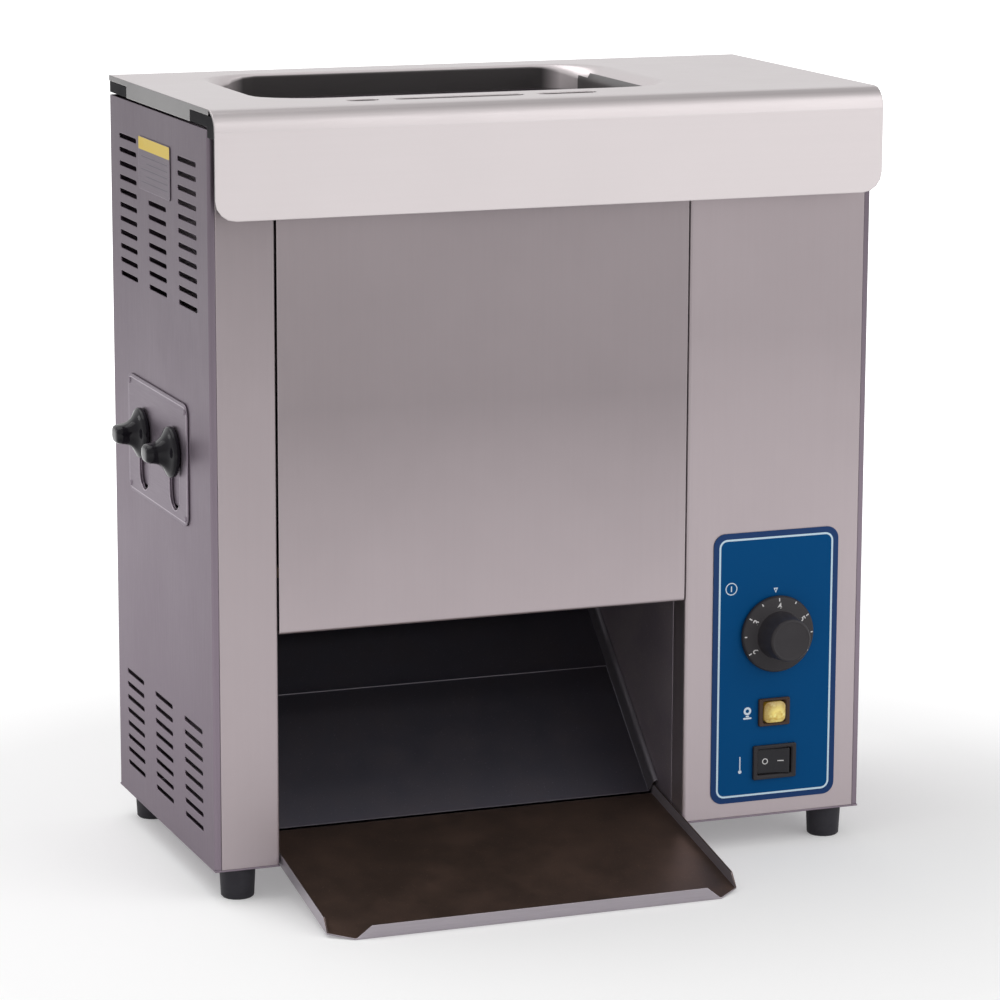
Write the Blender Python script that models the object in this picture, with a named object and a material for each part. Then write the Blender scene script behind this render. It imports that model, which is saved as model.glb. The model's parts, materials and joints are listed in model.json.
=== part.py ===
"""Vertical contact toaster: every piece a separate solid, placed on its joint axis."""
import math

import bmesh
import bpy
from mathutils import Matrix, Vector
from mathutils.geometry import tessellate_polygon

MM = 0.001

# Places are measured from the body's left side (x), its front face (y) and the floor (z).

# The body
TOP = 611 * MM
SIDE_FROM_TOP = 15.5 * MM
FOOT_HEIGHT = 25 * MM
SHEET = 1.2 * MM
LID_SHEET = 1.5 * MM
GAP = 0.3 * MM
OVERRUN = 2 * MM
BEND = 2.5 * MM
BEND_STEPS = 3
ROUND_STEPS = 16

# The toasting chamber between the two bulkheads
CHAMBER_LEFT = 52 * MM
CONTROL_WIDTH = 154.5 * MM
FRONT_RETURN = 23 * MM
BULKHEAD_FRONT = 24 * MM
BULKHEAD_SETBACK = 8 * MM
FRONT_ROOM = 64.3 * MM
REAR_ROOM = 45.3 * MM
PLATEN_THICKNESS = 26 * MM
PLATEN_LOW = 226 * MM
PLATEN_FROM_TOP = 55 * MM
RELEASE_SHEET = 0.5 * MM
BUN_GAP = 25.4 * MM

# The conveyors
ROLLER_RADIUS = 18.7 * MM
BELT_THICKNESS = 1.5 * MM
SHAFT_RADIUS = 6 * MM
DRIVE_Z = 262 * MM
IDLER_FROM_TOP = 71 * MM
BELT_WIDTH = 290 * MM
BELT_SIDE = 23.75 * MM

# The adjusters on the left side
FRONT_KNOB_Y = 93 * MM
REAR_KNOB_Y = 178 * MM
KNOB_Z = 337 * MM
ADJUSTER_TRAVEL = 32 * MM
CONVEYOR_TILT = math.radians(2.4)
STUD_RADIUS = 3 * MM
BOSS_RADIUS = 13 * MM
BOSS_CLEARANCE = 1 * MM

# The reach of the outermost pieces
KNOB_REACH = 26 * MM
TRAY_REACH = 121.5 * MM
TRAY_SLOPE = 0.189
TRAY_LIP = 10.7 * MM
SCREW_HEAD_HEIGHT = 2.2 * MM

# Worked out from the driving sizes
CHAMBER_RIGHT = CHAMBER_LEFT + BELT_WIDTH + 2 * BELT_SIDE
CHAMBER_MIDDLE = (CHAMBER_LEFT + CHAMBER_RIGHT) / 2
WIDTH = CHAMBER_RIGHT + CONTROL_WIDTH
SIDE_TOP = TOP - SIDE_FROM_TOP
PLATEN_HIGH = TOP - PLATEN_FROM_TOP
IDLER_Z = TOP - IDLER_FROM_TOP
SKIN = SHEET + GAP
BASE_TOP = FOOT_HEIGHT + SHEET
PANEL_LOW = BASE_TOP + GAP
BULKHEAD_TOP = TOP - LID_SHEET - GAP
BELT_RADIUS = ROLLER_RADIUS + GAP + BELT_THICKNESS
BELT_OFFSET = PLATEN_THICKNESS / 2 + GAP + RELEASE_SHEET + BUN_GAP + BELT_RADIUS
FRONT_BELT_Y = FRONT_ROOM + BELT_RADIUS
PLATEN_Y = FRONT_BELT_Y + BELT_OFFSET
REAR_BELT_Y = PLATEN_Y + BELT_OFFSET
DEPTH = REAR_BELT_Y + BELT_RADIUS + REAR_ROOM
BULKHEAD_REAR = DEPTH - BULKHEAD_SETBACK
BELT_LEFT = CHAMBER_LEFT + BELT_SIDE
BELT_RIGHT = BELT_LEFT + BELT_WIDTH
CENTRE_X = (WIDTH - KNOB_REACH) / 2
REAR_REACH = GAP + SCREW_HEAD_HEIGHT
FRONT_REACH = TRAY_REACH + TRAY_LIP * math.sin(math.atan(TRAY_SLOPE))
CENTRE_Y = (DEPTH + REAR_REACH - FRONT_REACH) / 2

QUARTER_TURN = 90
CARRIERS = {}


# Scene, materials and carriers

def clear_scene():
    """Remove whatever the open file holds."""
    for obj in list(bpy.data.objects):
        bpy.data.objects.remove(obj, do_unlink=True)


def make_material(name, colour, roughness, metallic):
    """Return a plain Principled material."""
    made = bpy.data.materials.new(name)
    made.use_nodes = True
    shader = made.node_tree.nodes["Principled BSDF"]
    shader.inputs["Base Color"].default_value = (*colour, 1.0)
    shader.inputs["Roughness"].default_value = roughness
    shader.inputs["Metallic"].default_value = metallic
    return made


def carrier(name, at, parent=None):
    """Return an empty that stands on a joint axis, at a place in the body's frame."""
    obj = bpy.data.objects.new(name, None)
    obj.empty_display_size = BEND
    bpy.context.scene.collection.objects.link(obj)
    if parent:
        obj.parent = CARRIERS[parent][0]
        obj.location = Vector(at) - CARRIERS[parent][1]
    CARRIERS[name] = (obj, Vector(at))
    return obj


def add_object(name, bm, finish, on="toaster", smooth=False):
    """Turn a bmesh drawn in the body's frame into an object on a carrier."""
    holder, origin = CARRIERS[on]
    bmesh.ops.recalc_face_normals(bm, faces=bm.faces)
    bmesh.ops.translate(bm, verts=bm.verts, vec=-origin)
    mesh = bpy.data.meshes.new(name)
    bm.to_mesh(mesh)
    bm.free()
    obj = bpy.data.objects.new(name, mesh)
    bpy.context.scene.collection.objects.link(obj)
    obj.parent = holder
    if finish:
        mesh.materials.append(finish)
    if smooth:
        mesh.shade_smooth()
        mesh.set_sharp_from_angle(angle=math.radians(35))
    return obj


def add_guide(name, bm, on="toaster"):
    """Add a shape that only cuts or joins another."""
    obj = add_object(name, bm, None, on)
    obj.hide_render = True
    obj.display_type = "WIRE"
    return obj


def combine(obj, bm, operation, on="toaster"):
    """Cut, join or intersect an object with a shape drawn in the body's frame."""
    guide = add_guide(f"{obj.name}_{operation.lower()}_{len(obj.modifiers)}", bm, on)
    step = obj.modifiers.new(guide.name, "BOOLEAN")
    step.operation = operation
    step.solver = "EXACT"
    step.object = guide
    return obj


# Outlines, as lists of (u, v)

def arc(centre, radius, start, end, steps):
    """Return the points of an arc, both ends included, angles in degrees."""
    points = []
    for step in range(steps + 1):
        angle = math.radians(start + (end - start) * step / steps)
        points.append((centre[0] + radius * math.cos(angle), centre[1] + radius * math.sin(angle)))
    return points


def circle(centre, radius, steps=ROUND_STEPS):
    """Return the corners of a circle."""
    return arc(centre, radius, 0, 360, steps)[:-1]


def rectangle(low, high):
    """Return the corners of a rectangle."""
    return [(low[0], low[1]), (high[0], low[1]), (high[0], high[1]), (low[0], high[1])]


def rounded_rectangle(low, high, radius, steps=3):
    """Return the outline of a rectangle with round corners."""
    centres = [(high[0] - radius, low[1] + radius), (high[0] - radius, high[1] - radius),
               (low[0] + radius, high[1] - radius), (low[0] + radius, low[1] + radius)]
    points = []
    for turn, centre in enumerate(centres):
        points += arc(centre, radius, (turn - 1) * QUARTER_TURN, turn * QUARTER_TURN, steps)
    return points


def slot(centre, length, width, upright=False, steps=3):
    """Return a slot with round ends."""
    half = (length - width) / 2
    points = arc((half, 0), width / 2, -90, 90, steps) + arc((-half, 0), width / 2, 90, 270, steps)
    if upright:
        points = [(-v, u) for u, v in points]
    return [(centre[0] + u, centre[1] + v) for u, v in points]


def bent_strip(path, thickness, radius=BEND, steps=BEND_STEPS):
    """Return the cross-section of a folded sheet, whose thickness lies left of the path."""
    outer = []
    count = len(path)
    for index, point in enumerate(path):
        here = Vector(point)
        if index in (0, count - 1):
            near = Vector(path[1]) if index == 0 else Vector(path[count - 2])
            along = (near - here if index == 0 else here - near).normalized()
            outer.append((here, along))
            continue
        before = (here - Vector(path[index - 1])).normalized()
        after = (Vector(path[index + 1]) - here).normalized()
        turn = math.atan2(before.x * after.y - before.y * after.x, before.dot(after))
        start = here - before * radius * math.tan(abs(turn) / 2)
        side = Vector((-before.y, before.x)) * math.copysign(1, turn)
        centre = start + side * radius
        for step in range(steps + 1):
            spin = Matrix.Rotation(turn * step / steps, 2)
            outer.append((centre - spin @ side * radius, spin @ before))
    inner = [place + Vector((-along.y, along.x)) * thickness for place, along in outer]
    return [tuple(place) for place, _ in outer] + [tuple(place) for place in reversed(inner)]


def belt_path(wheels, steps):
    """Return points and left normals of a band round wheels given as (centre, radius, sense)."""
    tangents = []
    count = len(wheels)
    for index in range(count):
        centre_a, radius_a, sense_a = wheels[index]
        centre_b, radius_b, sense_b = wheels[(index + 1) % count]
        apart = Vector(centre_b) - Vector(centre_a)
        offset = sense_b * radius_b - sense_a * radius_a
        run = math.sqrt(apart.length_squared - offset * offset)
        tangents.append(math.atan2(apart.y, apart.x) - math.atan2(offset, run))
    path = []
    for index, (centre, radius, sense) in enumerate(wheels):
        start = tangents[index - 1]
        turn = (tangents[index] - start) * sense % math.tau * sense
        for step in range(steps + 1):
            heading = start + turn * step / steps
            normal = Vector((-math.sin(heading), math.cos(heading)))
            path.append((Vector(centre) - normal * radius * sense, normal))
    return path


# Shapes, added to a bmesh in the body's frame

def plane(axis):
    """Return the two directions across an axis, then the axis itself, as indexes."""
    along = "XYZ".index(axis)
    first, second = (index for index in range(3) if index != along)
    return first, second, along


def place_points(bm, outline, axis, at):
    """Add an outline's corners on a plane across an axis."""
    first, second, along = plane(axis)
    corners = []
    for u, v in outline:
        spot = [0.0, 0.0, 0.0]
        spot[first], spot[second], spot[along] = u, v, at
        corners.append(bm.verts.new(spot))
    return corners


def add_plate(bm, outline, axis, low, high, holes=()):
    """Add an outline, less its holes, drawn out along an axis."""
    loops = [outline, *holes]
    flat = [point for loop in loops for point in loop]
    triangles = tessellate_polygon([[Vector((u, v, 0)) for u, v in loop] for loop in loops])
    near = place_points(bm, flat, axis, low)
    far = place_points(bm, flat, axis, high)
    for triangle in triangles:
        bm.faces.new([near[corner] for corner in triangle])
        bm.faces.new([far[corner] for corner in reversed(triangle)])
    start = 0
    for loop in loops:
        count = len(loop)
        for index in range(count):
            here, there = start + index, start + (index + 1) % count
            bm.faces.new((near[here], near[there], far[there], far[here]))
        start += count
    return bm


def add_box(bm, low, high):
    """Add a box between two corners."""
    return add_plate(bm, rectangle(low[:2], high[:2]), "Z", low[2], high[2])


def add_turned(bm, profile, at, axis, steps=ROUND_STEPS, bored=False):
    """Add a turned shape from (radius, height) points about an axis through a place."""
    first, second, along = plane(axis)
    rings = []
    for radius, height in profile:
        spots = []
        for step in range(steps if radius > 0 else 1):
            angle = math.tau * (step + 0.5) / steps
            spot = list(at)
            spot[first] += radius * math.cos(angle)
            spot[second] += radius * math.sin(angle)
            spot[along] += height
            spots.append(bm.verts.new(spot))
        rings.append(spots)
    pairs = list(zip(rings, rings[1:]))
    if bored:
        pairs.append((rings[-1], rings[0]))
    for lower, upper in pairs:
        for step in range(steps):
            after = (step + 1) % steps
            corners = [lower[step % len(lower)], lower[after % len(lower)],
                       upper[after % len(upper)], upper[step % len(upper)]]
            bm.faces.new(list(dict.fromkeys(corners)))
    return bm


def add_rod(bm, radius, at, axis, low, high, steps=ROUND_STEPS):
    """Add a plain rod along an axis, between two heights on it."""
    middle = list(at)
    middle[plane(axis)[2]] = 0.0
    profile = [(0, low), (radius, low), (radius, high), (0, high)]
    return add_turned(bm, profile, middle, axis, steps)


def add_tube(bm, outer, bore, at, axis, low, high, steps=ROUND_STEPS):
    """Add a plain tube along an axis, between two heights on it."""
    middle = list(at)
    middle[plane(axis)[2]] = 0.0
    profile = [(bore, low), (outer, low), (outer, high), (bore, high)]
    return add_turned(bm, profile, middle, axis, steps, bored=True)


def plate(outline, axis, low, high, holes=()):
    """Return a new bmesh holding one drawn-out outline."""
    return add_plate(bmesh.new(), outline, axis, low, high, holes)


def box(low, high):
    """Return a new bmesh holding one box."""
    return add_box(bmesh.new(), low, high)


# Base, feet and casing

FOOT_TOP_RADIUS = 14.2 * MM
FOOT_LOW_RADIUS = 13 * MM
FOOT_STUD = 8 * MM
FOOT_SIDE = 22.7 * MM
FOOT_END = 17 * MM
SCREW_SHANK = 2 * MM
SCREW_HEAD = 3.6 * MM
SCREW_LENGTH = 8 * MM
DOME_SHARE = 0.7
TRAY_NOTCH = 21 * MM
FOOT_PLACES = {"front_left_foot": (FOOT_SIDE, FOOT_END), "front_right_foot": (WIDTH - FOOT_SIDE, FOOT_END),
               "rear_left_foot": (FOOT_SIDE, DEPTH - FOOT_END),
               "rear_right_foot": (WIDTH - FOOT_SIDE, DEPTH - FOOT_END)}


def build_base_pan(steel):
    """Make the floor sheet, notched at the front for the tray, with its four foot holes."""
    outline = [(0, 0), (CHAMBER_LEFT, 0), (CHAMBER_LEFT, TRAY_NOTCH), (CHAMBER_RIGHT, TRAY_NOTCH),
               (CHAMBER_RIGHT, 0), (WIDTH, 0), (WIDTH, DEPTH), (0, DEPTH)]
    holes = [circle(place, SCREW_SHANK + GAP, 8) for place in FOOT_PLACES.values()]
    add_object("base_pan", plate(outline, "Z", FOOT_HEIGHT, BASE_TOP, holes), steel)


def build_feet(rubber):
    """Make the four tapered feet, each with a stud through the base pan."""
    high = FOOT_HEIGHT - GAP
    profile = [(0, 0), (FOOT_LOW_RADIUS - BEND / 2, 0), (FOOT_LOW_RADIUS, BEND / 2), (FOOT_TOP_RADIUS, high),
               (SCREW_SHANK, high), (SCREW_SHANK, high + FOOT_STUD), (0, high + FOOT_STUD)]
    for name, (x, y) in FOOT_PLACES.items():
        add_object(name, add_turned(bmesh.new(), profile, (x, y, 0), "Z"), rubber, smooth=True)


VENT_LENGTH = 50 * MM
VENT_WIDTH = 4 * MM
VENT_FROM_TOP = 45 * MM
VENT_PITCH = 11 * MM
VENT_COLUMN_PITCH = 81.5 * MM
VENT_MIDDLE_Y = 136.5 * MM
UPPER_VENT_TOP = TOP - VENT_FROM_TOP
UPPER_VENT_ROWS = 11
LABELLED_ROWS = 4
LOWER_VENT_TOP = 128.5 * MM
LOWER_VENT_ROWS = 8
RIGHT_UPPER_ROWS = 5
FRONT_LAP = 5 * MM
REAR_LAP = 12 * MM
ADJUSTER_SLOT_TOP = KNOB_Z + BOSS_RADIUS + BOSS_CLEARANCE
ADJUSTER_SLOT_LOW = KNOB_Z - ADJUSTER_TRAVEL - BOSS_RADIUS - BOSS_CLEARANCE
SCREW_FROM_EDGE = 7 * MM
REAR_SCREW_SHARES = (0.06, 0.35, 0.65, 0.94)


def vent_block(bm, axis, low, high, top, rows, skip=0):
    """Add three columns of vent slots to a cutter; the middle one may start lower."""
    for column in (-1, 0, 1):
        for row in range(skip if column == 0 else 0, rows):
            middle = (VENT_MIDDLE_Y + column * VENT_COLUMN_PITCH, top - row * VENT_PITCH)
            add_plate(bm, slot(middle, VENT_LENGTH, VENT_WIDTH), axis, low, high)


def rear_screw_places():
    """Return where the screws that hold the rear panel stand."""
    rise = SIDE_TOP - PANEL_LOW
    return [(x, PANEL_LOW + rise * share) for x in (SCREW_FROM_EDGE, WIDTH - SCREW_FROM_EDGE)
            for share in REAR_SCREW_SHARES]


def screw(bm, at, axis, way, shank, head, height, length):
    """Add a domed screw whose head's underside lies at a place, facing one way along an axis."""
    profile = [(0, -way * length), (shank, -way * length), (shank, 0), (head, 0), (head, way * height / 2),
               (head * DOME_SHARE, way * height), (0, way * height)]
    add_turned(bm, profile, at, axis, 8)


def rear_screw_holes(panel):
    """Cut the rear screws' holes through a panel's rear lap."""
    bm = bmesh.new()
    for x, z in rear_screw_places():
        add_rod(bm, SCREW_SHANK + GAP, (x, 0, z), "Y", DEPTH - REAR_LAP, DEPTH + OVERRUN, 8)
    combine(panel, bm, "DIFFERENCE")


def build_left_side_panel(steel):
    """Make the left side, folded at the front and rear, with its vents and adjuster slots."""
    path = [(REAR_LAP, DEPTH), (0, DEPTH), (0, 0), (FRONT_LAP, 0)]
    panel = add_object("left_side_panel", plate(bent_strip(path, SHEET), "Z", PANEL_LOW, SIDE_TOP), steel)
    bm = bmesh.new()
    low, high = -OVERRUN, SHEET + OVERRUN
    vent_block(bm, "X", low, high, UPPER_VENT_TOP, UPPER_VENT_ROWS, LABELLED_ROWS)
    vent_block(bm, "X", low, high, LOWER_VENT_TOP, LOWER_VENT_ROWS)
    for y in (FRONT_KNOB_Y, REAR_KNOB_Y):
        add_plate(bm, adjuster_slot(y), "X", low, high)
    combine(panel, bm, "DIFFERENCE")
    rear_screw_holes(panel)


def adjuster_slot(y):
    """Return the outline of the slot that an adjuster's boss slides in."""
    middle = (y, (ADJUSTER_SLOT_TOP + ADJUSTER_SLOT_LOW) / 2)
    width = 2 * (BOSS_RADIUS + BOSS_CLEARANCE)
    return slot(middle, ADJUSTER_SLOT_TOP - ADJUSTER_SLOT_LOW, width, upright=True, steps=8)


def build_right_side_panel(steel):
    """Make the right side, folded like the left one, with its vents."""
    path = [(WIDTH - FRONT_LAP, 0), (WIDTH, 0), (WIDTH, DEPTH), (WIDTH - REAR_LAP, DEPTH)]
    panel = add_object("right_side_panel", plate(bent_strip(path, SHEET), "Z", PANEL_LOW, SIDE_TOP), steel)
    bm = bmesh.new()
    low, high = WIDTH - SHEET - OVERRUN, WIDTH + OVERRUN
    vent_block(bm, "X", low, high, UPPER_VENT_TOP, RIGHT_UPPER_ROWS)
    vent_block(bm, "X", low, high, LOWER_VENT_TOP, LOWER_VENT_ROWS)
    combine(panel, bm, "DIFFERENCE")
    rear_screw_holes(panel)


FAN_FROM_WALL = 78.5 * MM
FAN_FROM_TOP = 149 * MM
FAN_X = CHAMBER_RIGHT + FAN_FROM_WALL
FAN_Z = TOP - FAN_FROM_TOP
FAN_SIZE = 60 * MM
FAN_DEPTH = 25 * MM
FAN_BORE = 28 * MM
GRILLE_ROWS = 7
GRILLE_SLOT = 4.5 * MM
GRILLE_PITCH = 7.6 * MM
REAR_VENT_X = 128 * MM
REAR_VENT_STEP = 186 * MM
REAR_VENT_FROM_TOP = 71 * MM
REAR_VENT_TOP = TOP - REAR_VENT_FROM_TOP
REAR_VENT_ROWS = 6
REAR_FACE = DEPTH - SHEET - GAP
REAR_INNER = REAR_FACE - SHEET
INLET_FROM_WALL = 90.5 * MM
INLET_X = CHAMBER_RIGHT + INLET_FROM_WALL
INLET_Z = 70 * MM
INLET_BODY = (28 * MM, 22 * MM)


def build_rear_panel(steel):
    """Make the rear sheet with its fan grille, vents and inlet cut-out."""
    inset = BEND + GAP
    outline = rectangle((inset, PANEL_LOW), (WIDTH - inset, SIDE_TOP))
    panel = add_object("rear_panel", plate(outline, "Y", REAR_INNER, REAR_FACE), steel)
    bm = bmesh.new()
    low, high = REAR_INNER - OVERRUN, REAR_FACE + OVERRUN
    for row in range(GRILLE_ROWS):
        rise = (row - (GRILLE_ROWS - 1) / 2) * GRILLE_PITCH
        length = 2 * math.sqrt(FAN_BORE ** 2 - rise ** 2)
        add_plate(bm, slot((FAN_X, FAN_Z + rise), length, GRILLE_SLOT), "Y", low, high)
    for column in range(2):
        for row in range(REAR_VENT_ROWS):
            middle = (REAR_VENT_X + column * REAR_VENT_STEP, REAR_VENT_TOP - row * VENT_PITCH)
            add_plate(bm, slot(middle, VENT_LENGTH * 2, VENT_WIDTH), "Y", low, high)
    half = [side / 2 + GAP for side in INLET_BODY]
    cut_low = (INLET_X - half[0], INLET_Z - half[1])
    cut_high = (INLET_X + half[0], INLET_Z + half[1])
    add_plate(bm, rectangle(cut_low, cut_high), "Y", low, high)
    combine(panel, bm, "DIFFERENCE")
    bm = bmesh.new()
    for x, z in rear_screw_places():
        screw(bm, (x, DEPTH + GAP, z), "Y", 1, SCREW_SHANK, SCREW_HEAD, SCREW_HEAD_HEIGHT, SCREW_LENGTH)
    combine(panel, bm, "UNION")


ROD_RADIUS = 4 * MM
ROD_Y = 7 * MM
COVER_LOW = 208 * MM
COVER_FROM_TOP = 52.5 * MM
COVER_HIGH = TOP - COVER_FROM_TOP
COVER_GAP = 1 * MM
COVER_LIP = 10 * MM
HOOK_DEPTH = 14 * MM
HOOK_DROP = 12 * MM
ROD_Z = COVER_HIGH - SHEET - GAP - ROD_RADIUS
ROD_STANDOUT = 6 * MM


def rod_hole(panel, x):
    """Cut the hanging rod's hole through a sheet that stands across x."""
    bm = bmesh.new()
    add_rod(bm, ROD_RADIUS + GAP, (0, ROD_Y, ROD_Z), "X", x - OVERRUN, x + OVERRUN)
    combine(panel, bm, "DIFFERENCE")


def build_front_left_post(steel):
    """Make the narrow front sheet left of the cover, returned beside the chamber."""
    path = [(FRONT_LAP + GAP, 0), (CHAMBER_LEFT, 0), (CHAMBER_LEFT, FRONT_RETURN)]
    post = add_object("front_left_post", plate(bent_strip(path, SHEET), "Z", PANEL_LOW, SIDE_TOP), steel)
    rod_hole(post, CHAMBER_LEFT - SHEET / 2)


DIAL_FROM_WALL = 79 * MM
DIAL_X = CHAMBER_RIGHT + DIAL_FROM_WALL
DIAL_Z = 175.5 * MM
DIAL_BUSH = 5 * MM
LAMP_FROM_WALL = 64.2 * MM
LAMP_Z = 100 * MM
LAMP_SIZE = (26.9 * MM, 22.5 * MM)
LAMP_LOW = (CHAMBER_RIGHT + LAMP_FROM_WALL, LAMP_Z)
LAMP_HIGH = (LAMP_LOW[0] + LAMP_SIZE[0], LAMP_Z + LAMP_SIZE[1])
ROCKER_FROM_WALL = 59.9 * MM
ROCKER_Z = 56 * MM
ROCKER_SIZE = (37.5 * MM, 28 * MM)
ROCKER_LOW = (CHAMBER_RIGHT + ROCKER_FROM_WALL, ROCKER_Z)
ROCKER_HIGH = (ROCKER_LOW[0] + ROCKER_SIZE[0], ROCKER_Z + ROCKER_SIZE[1])
BEZEL_LAP = 1.2 * MM


def shrunk(low, high, by):
    """Return a rectangle drawn in by a length on every side."""
    return rectangle((low[0] + by, low[1] + by), (high[0] - by, high[1] - by))


def control_holes(clearance):
    """Return the holes for the dial's bush, the lamp and the rocker."""
    return [circle((DIAL_X, DIAL_Z), DIAL_BUSH + clearance),
            shrunk(LAMP_LOW, LAMP_HIGH, BEZEL_LAP - clearance),
            shrunk(ROCKER_LOW, ROCKER_HIGH, BEZEL_LAP - clearance)]


def build_front_right_fascia(steel):
    """Make the wide front sheet right of the cover, with its control cut-outs."""
    path = [(CHAMBER_RIGHT, FRONT_RETURN), (CHAMBER_RIGHT, 0), (WIDTH - FRONT_LAP - GAP, 0)]
    fascia = add_object("front_right_fascia", plate(bent_strip(path, SHEET), "Z", PANEL_LOW, SIDE_TOP), steel)
    bm = bmesh.new()
    for outline in control_holes(GAP):
        add_plate(bm, outline, "Y", -OVERRUN, SHEET + OVERRUN)
    combine(fascia, bm, "DIFFERENCE")
    rod_hole(fascia, CHAMBER_RIGHT + SHEET / 2)


def build_front_cover(steel):
    """Make the cover, hooked over its rod at the top and lipped at the bottom."""
    left, right = CHAMBER_LEFT + COVER_GAP, CHAMBER_RIGHT - COVER_GAP
    path = [(COVER_LIP, COVER_LOW), (0, COVER_LOW), (0, COVER_HIGH), (HOOK_DEPTH, COVER_HIGH),
            (HOOK_DEPTH, COVER_HIGH - HOOK_DROP)]
    section = bent_strip(path[::-1], SHEET)
    add_object("front_cover", plate(section, "X", left, right), steel, "front_cover_swing")


def build_cover_hang_rod(steel):
    """Make the rod that the cover hangs on."""
    low, high = CHAMBER_LEFT - ROD_STANDOUT, CHAMBER_RIGHT + ROD_STANDOUT
    bm = add_rod(bmesh.new(), ROD_RADIUS, (0, ROD_Y, ROD_Z), "X", low, high)
    add_object("cover_hang_rod", bm, steel, smooth=True)


# Top cover and its corner caps

SKIRT_FACE = 19 * MM
SKIRT_HEIGHT = 82 * MM
SKIRT_LOW = TOP - SKIRT_HEIGHT
LID_BEND = 16 * MM
SKIRT_CORNER = 16 * MM
LID_BEND_STEPS = 5
FLANGE_DEPTH = 13.5 * MM
FLANGE_LOW = TOP - FLANGE_DEPTH
END_DEPTH = 4.4 * MM
FLANGE_EDGE = TOP - END_DEPTH
FRONT_CAP_LENGTH = 44.7 * MM
REAR_CAP_LENGTH = 51 * MM
CAP_WIDTH = 12 * MM
STRIP_WIDTH = 8 * MM
REAR_CAP_WRAP = 30 * MM
CAP_DEPTH = 21 * MM
CAP_LOW = TOP - CAP_DEPTH
FEED_SIDES = (20 * MM, 1.5 * MM)
FEED_LEFT = CHAMBER_LEFT + FEED_SIDES[0]
FEED_RIGHT = CHAMBER_RIGHT - FEED_SIDES[1]
FEED_FRONT = 50 * MM
FEED_BEHIND = 31 * MM
FEED_REAR = DEPTH - FEED_BEHIND
FEED_CORNER = 40 * MM
LIP_END = 17 * MM
LIP_SIDE = 3 * MM
LIP_DEPTH = 14 * MM
LIP_DROP = 6 * MM
LIP_STEPS = 5
CORNER_STEPS = 6
LID_SLOT_Y = 23.5 * MM
LID_SLOT_WIDTH = 13 * MM
LID_SLOTS = ((116 * MM, 143 * MM), (154 * MM, 260 * MM), (270 * MM, 320 * MM))


def feed_loop(turn):
    """Return the feed opening's corners where its drawn edge has turned down by an angle."""
    low, high = (FEED_LEFT, FEED_FRONT), (FEED_RIGHT, FEED_REAR)
    corners = []
    for index, (x, y) in enumerate(rounded_rectangle(low, high, FEED_CORNER, CORNER_STEPS)):
        quarter, step = divmod(index, CORNER_STEPS + 1)
        facing = math.radians((quarter - 1 + step / CORNER_STEPS) * QUARTER_TURN)
        across, along = math.cos(facing), math.sin(facing)
        spread = 1 - math.sin(turn)
        depth = LIP_SIDE + (LIP_DEPTH - LIP_SIDE) * across ** 2
        corners.append((x + LIP_END * across * spread, y + LIP_SIDE * along * spread,
                        TOP - depth * (1 - math.cos(turn))))
    return corners


def lid_face(bm, points):
    """Add one face of the top cover's outer surface."""
    return bm.faces.new([bm.verts.new(point) for point in points])


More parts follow.
